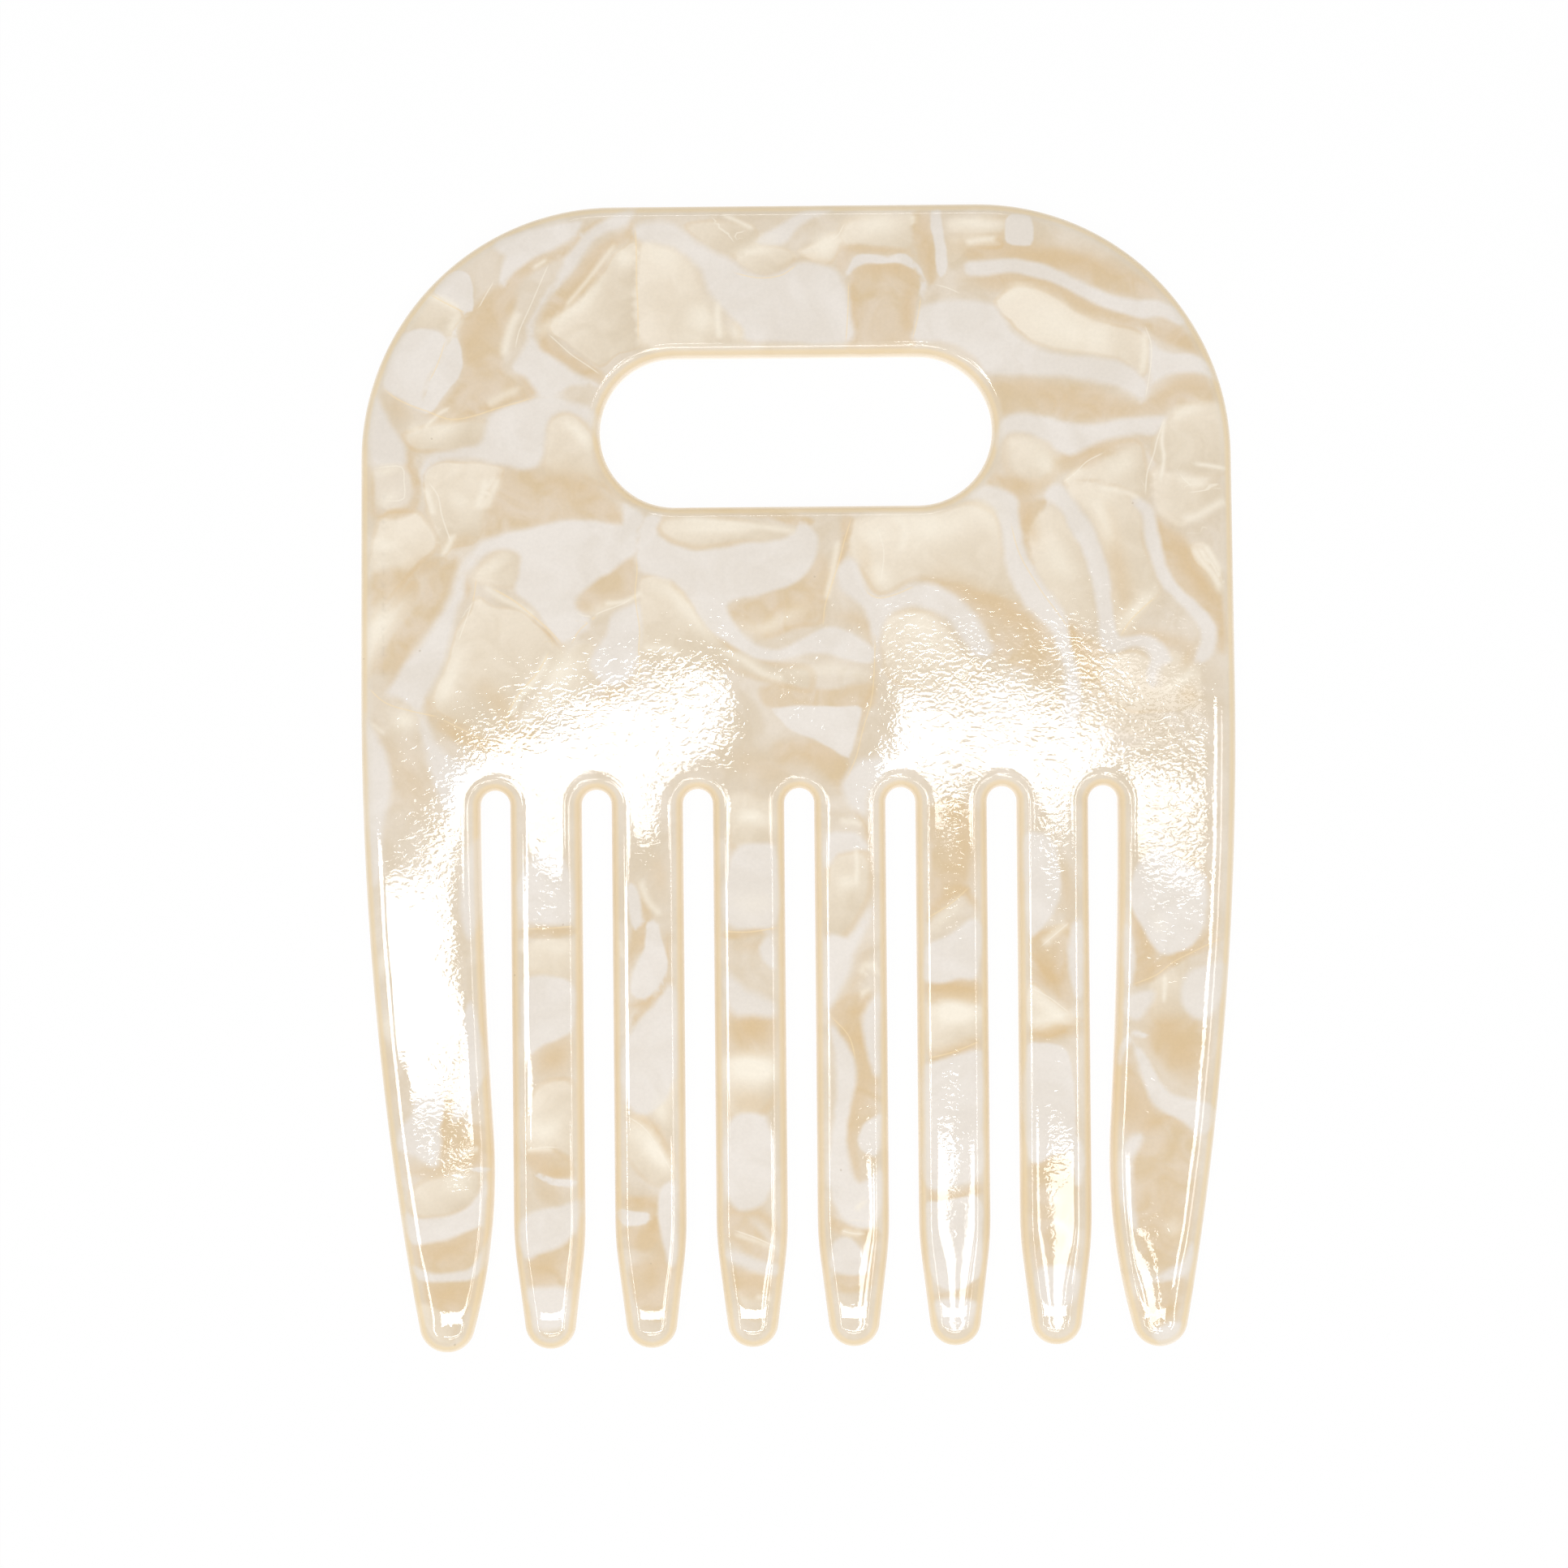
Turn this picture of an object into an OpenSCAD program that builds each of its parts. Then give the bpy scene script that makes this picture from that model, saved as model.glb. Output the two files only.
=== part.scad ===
// Wide-tooth pick comb, routed from one sheet of marbled acetate and tumble-polished.
// It lies flat: +Z is the thickness, +Y points to the handle and the teeth point to -Y.
// The comb is a single piece. Its named regions, the handle and each tooth, share whole
// faces along the line of the tooth roots.

/* [Sheet] */
// Thickness of the sheet
sheet_t = 4; // [3.4:0.1:5]
// Width of the rounded band along every edge, seen from above
edge_w = 1.3; // [0.9:0.05:1.5]
// Angle, in degrees, at which that rounding meets the flat faces
edge_angle = 10; // [5:1:20]

/* [Handle] */
// Width across the comb where it is widest
body_w = 82.7; // [80:0.1:88]
// Height from the tooth roots to the top edge
handle_h = 56.5; // [50:0.5:64]
// Radius of the two top corners
corner_r = 24.3; // [16:0.1:30]
// Height of the widest line above the tooth roots
belly_h = 8.2; // [5:0.1:14]
// Radius of the long curve down each side
side_r = 335; // [300:5:420]

/* [Finger slot] */
// Length of the slot
slot_l = 37.1; // [28:0.1:46]
// Height of the slot
slot_h = 14.1; // [10:0.1:18]
// Distance from the top edge down to the middle of the slot
slot_drop = 21.4; // [18:0.1:26]

/* [Teeth] */
// Width of the gap between two teeth
gap_w = 2.8; // [2:0.05:3.6]
// Length of an inner tooth below the roots
tooth_l = 51.5; // [40:0.5:60]
// Length of the taper at the end of an inner tooth
taper_l = 10.3; // [8:0.1:16]
// Radius of an inner tooth's tip, as a share of half its width
tip_share = 0.708; // [0.5:0.002:0.78]
// Radius of the soft shoulder where the taper begins
shoulder_r = 34; // [10:1:50]

/* [End teeth] */
// Width of an end tooth at its root
end_w = 11.21; // [10:0.01:13]
// Narrowest gap beside an end tooth
end_gap = 1.76; // [1.2:0.02:2]
// Radius of the inner side from that narrowest place to the tip
bulge_r = 58; // [50:1:70]
// Radius of an end tooth's tip
end_tip_r = 2.62; // [2.4:0.02:2.8]
// Distance by which an end tooth reaches past the inner ones
end_reach = 0.26; // [0:0.02:1]

/* [Thinned tips] */
// Thickness of a tooth where its rounded nose begins
tip_t = 2.7; // [2:0.1:3.4]
// Length over which the faces slope down to that thickness
thin_l = 11; // [6:0.5:16]
// Length of the rounded nose
nose_l = 2.4; // [1.6:0.1:3]
// Share of its thickness that the nose keeps at the very tip
nose_share = 0.45; // [0.3:0.05:0.7]

/* [Hidden] */

pearl = "#efe2cc";
ivory = "#f4ecdf";
honey = "#ead3a6";

// The inner teeth share out the width that the end teeth and the gaps leave
inner_teeth = 6;
tooth_w = (body_w - 2 * end_w - (inner_teeth + 1) * gap_w) / inner_teeth;
pitch = tooth_w + gap_w;
tip_r = tip_share * tooth_w / 2;
// Flat strip of an edge run that the middle of the plate laps
lap = 1.2;
overrun = 1;
arc_fn = 96;
side_fn = 256;

// Rounded edge: an arc that crosses the band at equal angles to the face and the wall
arc_turn = 90 - 2 * edge_angle;
arc_r = edge_w * sqrt(2) / (2 * sin(arc_turn / 2));
arc_mid = edge_w / 2 + arc_r * cos(arc_turn / 2) / sqrt(2);

// Side of the comb: a quarter turn at the corner, a straight run, then the long arc
corner_c = [body_w / 2 - corner_r, handle_h - corner_r];
side_c = [body_w / 2 - side_r, belly_h];
slot_y = handle_h - slot_drop;
slot_run = slot_l - slot_h;

// The tip circle of an end tooth touches the side arc from inside
end_tip_y = -tooth_l - end_reach;
end_y = end_tip_y + end_tip_r;
reach_side = side_r - end_tip_r;
end_c = [side_c.x + sqrt(reach_side ^ 2 - (end_y - side_c.y) ^ 2), end_y];

// Inner side of an end tooth: a hollow arc from the root, then the bulging arc, which
// holds the tip circle inside it and starts where the gap is narrowest
wall_x = body_w / 2 - end_w;
bulge_x = wall_x - gap_w + end_gap + bulge_r;
reach_bulge = bulge_r - end_tip_r;
bulge_c = [bulge_x, end_y + sqrt(reach_bulge ^ 2 - (bulge_x - end_c.x) ^ 2)];
wall_turn = 2 * atan((gap_w - end_gap) / -bulge_c.y);
hollow_r = -bulge_c.y / sin(wall_turn) - bulge_r;
hollow_l = hollow_r * sin(wall_turn);

// Taper of an inner tooth: a line from its shoulder that touches the tip circle
tip_y = tip_r - tooth_l;
shoulder_y = taper_l - tooth_l;
taper_reach = [tooth_w / 2, shoulder_y - tip_y];
taper_turn = acos(tip_r / norm(taper_reach)) - atan2(taper_reach.y, taper_reach.x);
shoulder_run = shoulder_r * tan(taper_turn / 2);
touch_y = tip_y - tip_r * sin(taper_turn);

// The origin lies under the middle of the comb
mid_y = (handle_h + end_tip_y) / 2;

// Steps of the lofts: along a tip, a taper and a wall, and round one corner
tip_end_turn = 87;
tip_steps = 9;
tip_turns = [for (k = [0 : tip_steps]) tip_end_turn * k / tip_steps];
blend_steps = 4;
wall_steps = 6;
corner_steps = 6;

// One edge, cut across: x runs inwards from the silhouette, y is the height
module edge_section() {
    difference() {
        square([edge_w + lap, sheet_t]);
        for (top = [0, 1])
            translate([0, top * sheet_t])
                mirror([0, top])
                    difference() {
                        square(arc_mid);
                        translate([arc_mid, arc_mid]) circle(arc_r, $fn = arc_fn);
                    }
    }
}

// Straight edge along +X, with the material towards +Y
module edge_run(run) {
    rotate([90, 0, 90]) linear_extrude(run) edge_section();
}

// Edge round the outside of an arc, with the material towards its centre
module edge_out(c, r, from, turn, fn = arc_fn) {
    translate(c) rotate(from)
        rotate_extrude(angle = turn, $fn = fn)
            translate([r, 0]) mirror([1, 0]) edge_section();
}

// Edge round the inside of an arc, with the material away from its centre
module edge_in(c, r, from, turn) {
    translate(c) rotate(from)
        rotate_extrude(angle = turn, $fn = arc_fn)
            translate([r, 0]) edge_section();
}

function gap_x(i) = (i - inner_teeth / 2) * pitch;
function at(c, r, a) = c + r * [cos(a), sin(a)];

// Middle of the plate, whose border lies in the flat strip of the edge runs
module plate_middle() {
    inset = edge_w + lap / 2;
    half = concat(
        [for (k = [0 : corner_steps])
            at(corner_c, corner_r - inset, 90 * (1 - k / corner_steps))],
        [[body_w / 2 - inset, belly_h], [wall_out(0) - inset, 0]]);
    mirrored = [for (i = [len(half) - 1 : -1 : 0]) [-half[i].x, half[i].y]];
    linear_extrude(sheet_t)
        difference() {
            polygon(concat(half, mirrored));
            for (i = [0 : inner_teeth])
                translate([gap_x(i), 0]) circle(gap_w / 2 + inset, $fn = arc_fn);
            translate([0, slot_y]) {
                for (s = [-1, 1])
                    translate([s * slot_run / 2, 0]) circle(slot_h / 2 + inset, $fn = arc_fn);
                square([slot_run, slot_h + 2 * inset], center = true);
            }
        }
}

// Right side of the border, from the corner down to the tooth roots
module side_border() {
    edge_out(corner_c, corner_r, 0, 90);
    translate([body_w / 2, belly_h]) rotate(90) edge_run(corner_c.y - belly_h);
    intersection() {
        edge_out(side_c, side_r, -90, 90, side_fn);
        translate([0, 0, -overrun]) cube([body_w, belly_h, sheet_t + 2 * overrun]);
    }
}

module slot_border() {
    translate([0, slot_y]) {
        for (s = [0, 1]) mirror([s, 0]) edge_in([slot_run / 2, 0], slot_h / 2, -90, 180);
        translate([-slot_run / 2, slot_h / 2]) edge_run(slot_run);
        rotate(180) translate([-slot_run / 2, slot_h / 2]) edge_run(slot_run);
    }
}

module handle() {
    color(pearl) translate([0, -mid_y, 0]) union() {
        plate_middle();
        translate([corner_c.x, handle_h]) rotate(180) edge_run(2 * corner_c.x);
        side_border();
        mirror([1, 0, 0]) side_border();
        slot_border();
        for (i = [0 : inner_teeth]) edge_in([gap_x(i), 0], gap_w / 2, 0, 180);
    }
}

// Half-thickness of a tooth at a distance s from its tip
function half_t(s) =
    let (slope = max(0, (thin_l - s) / (thin_l - nose_l)),
         sloped = sheet_t / 2 - (sheet_t - tip_t) / 2 * min(1, slope) ^ 2,
         nose = max(0, 1 - s / nose_l))
    sloped * (nose_share + (1 - nose_share) * sqrt(1 - nose ^ 2));

// Cross-section of a tooth from side x0 to side x1, with the edge arc at its corners
function section(y, x0, x1, ht) =
    let (bx = min(edge_w, (x1 - x0) / 2),
         low = 180 + edge_angle,
         arc = [for (k = [0 : corner_steps])
                let (a = low + arc_turn * k / corner_steps)
                [(arc_mid + arc_r * cos(a)) / edge_w, (arc_mid + arc_r * sin(a)) / edge_w]],
         bz = edge_w * ht / (sheet_t / 2))
    concat(
        [for (p = arc) [x0 + bx * p.x, y, sheet_t / 2 - ht + bz * p.y]],
        [for (k = [corner_steps : -1 : 0])
            [x1 - bx * arc[k].x, y, sheet_t / 2 - ht + bz * arc[k].y]],
        [for (p = arc) [x1 - bx * p.x, y, sheet_t / 2 + ht - bz * p.y]],
        [for (k = [corner_steps : -1 : 0])
            [x0 + bx * arc[k].x, y, sheet_t / 2 + ht - bz * arc[k].y]]);

// Skin over a row of equal rings, closed by a flat face at each end
module loft(rings) {
    n = len(rings[0]);
    last = len(rings) - 1;
    faces = [
        for (j = [0 : last - 1]) for (i = [0 : n - 1])
            let (a = j * n + i, b = j * n + (i + 1) % n)
            each [[a, b, a + n], [b, b + n, a + n]],
        [for (i = [n - 1 : -1 : 0]) i],
        [for (i = [0 : n - 1]) last * n + i]];
    polyhedron([for (ring = rings) each ring], faces, convexity = 2);
}

// Half-width of an inner tooth at height y
function tooth_half(y) =
    y > shoulder_y + shoulder_run ? tooth_w / 2 :
    y > shoulder_y - shoulder_run * cos(taper_turn) ?
        tooth_w / 2 - shoulder_r + sqrt(shoulder_r ^ 2 - (y - shoulder_y - shoulder_run) ^ 2) :
    y > touch_y ? tip_r * cos(taper_turn) + (y - touch_y) * tan(taper_turn) :
    sqrt(tip_r ^ 2 - (y - tip_y) ^ 2);

module tooth(i) {
    blend_top = shoulder_y + shoulder_run;
    stations = concat(
        [0, blend_top],
        [for (k = [1 : blend_steps]) blend_top + (tip_y - blend_top) * k / (blend_steps + 1)],
        [for (a = tip_turns) tip_y - tip_r * sin(a)]);
    translate([(i - (inner_teeth + 1) / 2) * pitch, -mid_y, 0])
        loft([for (y = stations) section(y, -tooth_half(y), tooth_half(y), half_t(y + tooth_l))]);
}

// Inner and outer side of the right end tooth at height y
function wall_in(y) =
    y > -hollow_l ? wall_x - hollow_r + sqrt(hollow_r ^ 2 - y ^ 2) :
    y > end_c.y + end_tip_r * (end_c.y - bulge_c.y) / reach_bulge ?
        bulge_c.x - sqrt(bulge_r ^ 2 - (y - bulge_c.y) ^ 2) :
    end_c.x - sqrt(end_tip_r ^ 2 - (y - end_c.y) ^ 2);
function wall_out(y) =
    y > end_c.y + end_tip_r * (end_c.y - side_c.y) / reach_side ?
        side_c.x + sqrt(side_r ^ 2 - (y - side_c.y) ^ 2) :
    end_c.x + sqrt(end_tip_r ^ 2 - (y - end_c.y) ^ 2);

module end_tooth() {
    stations = concat(
        [for (k = [0 : wall_steps - 1]) -hollow_l * k / wall_steps],
        [for (k = [0 : wall_steps]) -hollow_l + (end_c.y + hollow_l) * k / (wall_steps + 1)],
        [for (a = tip_turns) end_c.y - end_tip_r * sin(a)]);
    translate([0, -mid_y, 0])
        loft([for (y = stations) section(y, wall_in(y), wall_out(y), half_t(y - end_tip_y))]);
}

module end_tooth_left() { color(honey) mirror([1, 0, 0]) end_tooth(); }
module tooth_1() { color(ivory) tooth(1); }
module tooth_2() { color(honey) tooth(2); }
module tooth_3() { color(ivory) tooth(3); }
module tooth_4() { color(honey) tooth(4); }
module tooth_5() { color(ivory) tooth(5); }
module tooth_6() { color(honey) tooth(6); }
module end_tooth_right() { color(ivory) end_tooth(); }

handle();
end_tooth_left();
tooth_1();
tooth_2();
tooth_3();
tooth_4();
tooth_5();
tooth_6();
end_tooth_right();
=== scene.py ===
"""Marbled acetate comb: one polished plate with its teeth, on a pale floor under soft studio light."""

import math

import bpy
import numpy as np
from bpy.props import FloatProperty, FloatVectorProperty, PointerProperty
from mathutils.geometry import delaunay_2d_cdt
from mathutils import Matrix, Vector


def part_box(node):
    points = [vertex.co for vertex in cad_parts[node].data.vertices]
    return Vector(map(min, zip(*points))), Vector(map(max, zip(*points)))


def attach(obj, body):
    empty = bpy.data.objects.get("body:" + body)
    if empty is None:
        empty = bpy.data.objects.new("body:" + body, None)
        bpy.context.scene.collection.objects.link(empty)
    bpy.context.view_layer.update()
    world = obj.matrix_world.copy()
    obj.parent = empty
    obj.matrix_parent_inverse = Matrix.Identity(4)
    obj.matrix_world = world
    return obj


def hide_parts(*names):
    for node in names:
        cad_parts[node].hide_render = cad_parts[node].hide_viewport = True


bl_info = {
    "name": "Marbled Acetate Comb",
    "version": (1, 0, 0),
    "blender": (4, 5, 0),
    "location": "3D View > Sidebar > Comb",
    "description": "Builds a wide-tooth comb in marbled acetate and the studio that shows it",
    "category": "Object",
}

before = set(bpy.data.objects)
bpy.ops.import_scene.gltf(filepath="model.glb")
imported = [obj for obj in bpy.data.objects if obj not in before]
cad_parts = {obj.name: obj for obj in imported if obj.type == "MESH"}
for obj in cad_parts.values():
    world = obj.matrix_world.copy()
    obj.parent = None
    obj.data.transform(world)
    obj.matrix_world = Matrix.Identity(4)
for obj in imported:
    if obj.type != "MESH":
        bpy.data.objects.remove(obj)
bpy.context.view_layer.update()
HANDLE_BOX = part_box("handle")
MM = 0.001

# Sizes below are in millimetres, with y = 0 at the line of the tooth roots
ROOT_Y = HANDLE_BOX[0].y / MM
HALF_W = HANDLE_BOX[1].x / MM
TOP_Y = HANDLE_BOX[1].y / MM - ROOT_Y
SHEET = HANDLE_BOX[1].z / MM
INNER_TEETH = 6

# Shallow dishes left by the polishing wheel: centre x and y, half-widths across and down, depth
DISHES = (
    (1.0, 12.0, 5.0, 7.0, 0.03),
)

# Rows of points on the edge: height on the wall as a share of it, turns up the rounded edge in
# degrees, and distances of the rows on the flat face beside it
WALL_ROW = 0.6
EDGE_TURNS = (10, 21, 32, 43, 53, 62, 70, 77, 84, 90)
FLAT_ROWS = (0.25, 0.55, 0.9)

# Net over the flat faces: row spacing over point spacing, how clear of the edge rows it stays, the
# distance within which two points are one, and the move of a point that is an error
NET_ROW = 0.866
NET_CLEAR = 0.45
NET_ONE = 1e-9
NET_MOVED = 1e-6

# Polish: share of the half-thickness at which it sets in up the edge, and the most of it that it takes
POLISH_FROM = 0.5
POLISH_MOST = 0.5

# Polishing waves: share of the wave length, weight, seed
WAVES = ((1, 0.6, 21), (0.45, 0.4, 22))

# The wider fall beside the outer sides: where it sets in and is full, and how it deepens with width
SIDE_STRIP = (33, 37)
FALL_POWER = 1.4

# A tooth's crown: distance from the middle line at which it has dropped by its full size, the share of
# that distance where the drop stops growing, where it fades in below the roots, and how soon it ends
# beside the guard teeth
CROWN_HALF = 2
CROWN_LIMIT = 1.7
CROWN_FADE = (-3, -14)
CROWN_END = 0.1

# Largest square of the distance from a tooth's middle line that still bows its thinning
BOW_LIMIT = 5

# Points worked on together, length under which a run has none, and a value that means none is near
BLOCK = 4096
NO_LENGTH = 1e-12
FAR = 9.0

# Ripples: number of sines, their range of scales, and the sum that counts as 1
RIPPLE_SINES = 5
RIPPLE_SCALES = (0.7, 1.5)
RIPPLE_PEAK = 2.6

# Drift of the flakes' outlines: wavelength, reach, and the seeds for x and y
DRIFTS = ((7, 0.16, (11, 12)), (2.1, 0.05, (13, 14)))

# Points to a span of a soft curve, and how far from a shape its field is worked out
SPAN_POINTS = 5
FIELD_REACH = 2

# Painted lit side of a flake: its way, the spread of that way in degrees, seed, and difference in brightness
LIT_WAY = 135
LIT_SPREAD = 50
LIT_SEED = 5
LIT_TONE = 0.42

# Glints and shades: reach in half-widths, and the share of strength left at a line's ends
GLOW_REACH = 3
GLOW_ENDS = 0.35

# Streaks and cracks: reach, share of it without fading, and share of the length that fades at an end
STREAK_REACH = 1.6
CRACK_REACH = 1.0
LINE_HOLD = 0.6
LINE_ENDS = 0.12

# Noises of the sheet and its skin: cells to the metre, detail, roughness, distortion
NOISES = {
    "cloud": (170, 3, 0.55, 0.8),
    "fold": (300, 2, 0.5, 1.2),
    "patch": (110, 1, 0.5, 0),
    "fray": (900, 3, 0.6, 0),
    "mottle": (3200, 2, 0.6, 0),
    "dust": (1500, 0, 0.5, 0),
    "smear": (130, 2, 0.5, 0),
    "crinkle": (1500, 0.7, 0.5, 1.6),
    "peel": (420, 1, 0.5, 0),
    "scratch": (1, 1, 0.5, 0),
    "worn": (70, 1, 0.5, 0),
}

# Soft steps: where they begin and end, then what they give below and above. Edge steps go by the
# distance inwards in millimetres, flakes and cracks by shares of their softness or half-width, and the
# last two by x and y in metres.
STEPS = {
    "cloud": (0.3, 0.7, 0, 1),
    "fold": (0.25, 0.75, 0, 1),
    "patch": (0.35, 0.65, 0, 1),
    "flake": (-1, 1, 0, 1),
    "flake_fold": (0.1, 0.9, 0.32, 0),
    "crack": (0.6, 1.8, 1, 0),
    "dust": (0.88, 0.92, 0, 0.35),
    "smear": (0.35, 0.75, 0, 1),
    "scratch": (0.68, 0.80, 0, 1),
    "worn": (0.3, 0.7, 0.8, 1.35),
    # Painted light at the edges: edge_light, edge_rim with edge_wall, and edge_leaving place it
    "edge_light": (0.9, 1.4, 0.25, 0),
    "edge_rim": (0.45, 0.85, 1, 0),
    "edge_wall": (0.08, 0.38, 0.35, 1),
    "edge_leaving": (0.05, 0.35, 1, 0),
    "edge_crinkle": (1.8, 3.0, 1.4, 4.0),
    "to_right": (0, 0.014, 1, 1.35),
    "to_tips": (-0.042, -0.026, 0.3, 1),
}

# Kinds of flake: cover, how far the rim frays, and cells of the fraying to the metre
FLAKES = {
    "satin": (0.9, 0.5, 700),
    "honey": (0.85, 0.6, 700),
    "white": (0.96, 0.4, 900),
}

# Grain of the crinkle and run of the scratches: turn in radians, and scales along the three axes
GRAIN = (-0.45, (0.72, 1, 0.72))
SCRATCH_RUN = (0.7, (90, 4000, 90))

# Height of one unit of relief in the skin, in metres
RELIEF = 0.000001

# The far face takes the same marbling, mirrored, at this scale and moved by this much
FAR_FACE_SCALE = 0.94
FAR_FACE_MOVE = (1.5, -1.0)

# Numbers of a colour mix node's sockets, whose names repeat
MIX_A, MIX_B, MIXED = 6, 7, 2

# Camera: sensor width in millimetres, nearest and farthest distance in metres
SENSOR = 36
CLIP = (0.01, 10)

# Lamps: name, place x and y, size across and down, strength, turn in degrees; all face down
LAMPS = (
    ("key_left", -46, 8.5, 66, 15, 18, 18),
    ("veil_left", -26, 20, 20, 8, 2.4, 6),
    ("key_right", 47, 9, 54, 24, 17, -3),
    ("key_right_end", 89, -5, 24, 16, 14, -10),
    ("veil_right", 38, 25, 44, 8, 1.5, -4),
    ("veil_right_end", 82, 19, 36, 9, 3.5, -8),
    ("tongue_left", -57, -5, 22, 18, 12, 0),
    ("tongue_left_tip", -57, -15, 14, 14, 12, 45),
    ("tongue_mid_left", -34, -2, 14, 12, 12, 0),
    ("tongue_mid_left_tip", -35, -9, 7, 7, 12, 45),
    ("tongue_mid_right", 35, -6, 6, 18, 10, 0),
    ("tongue_right", 60, -4, 16, 16, 12, 0),
    ("tongue_right_tip", 61, -13, 10, 10, 12, 45),
    ("tongue_end", 91, -10, 24, 18, 9, 0),
    ("left_leg", -114, -45.5, 70, 41, 15, 4),
    ("left_leg_tongue", -92, -70, 24, 15, 14, 0),
    ("left_leg_line", -76, -75, 6, 22, 14, 0),
    ("left_leg_top", -81.7, -19, 13, 32, 14, -27),
    ("left_box", -188, -75, 50, 124, 14, 0),
    ("left_box_low", -192, -240, 34, 206, 12, 0),
    ("right_strip", 203, -60, 30, 150, 6, 0),
    ("right_strip_low", 203, -240, 24, 210, 11, 0),
    ("right_line", 143, -110, 22, 260, 13, 0),
    ("tip_glow_mid", 32, -197, 15, 226, 12, 0),
    ("tip_glow_right", 64, -194, 24, 214, 12, 0),
    ("tip_glow_end", 88.5, -205, 3, 190, 12, 0),
    ("front_bar", 0, -302, 216, 26, 15, 0),
    ("front_box", 0, -395, 160, 70, 8, 0),
    ("back_box", 0, 600, 260, 50, 10, 0),
)
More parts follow.
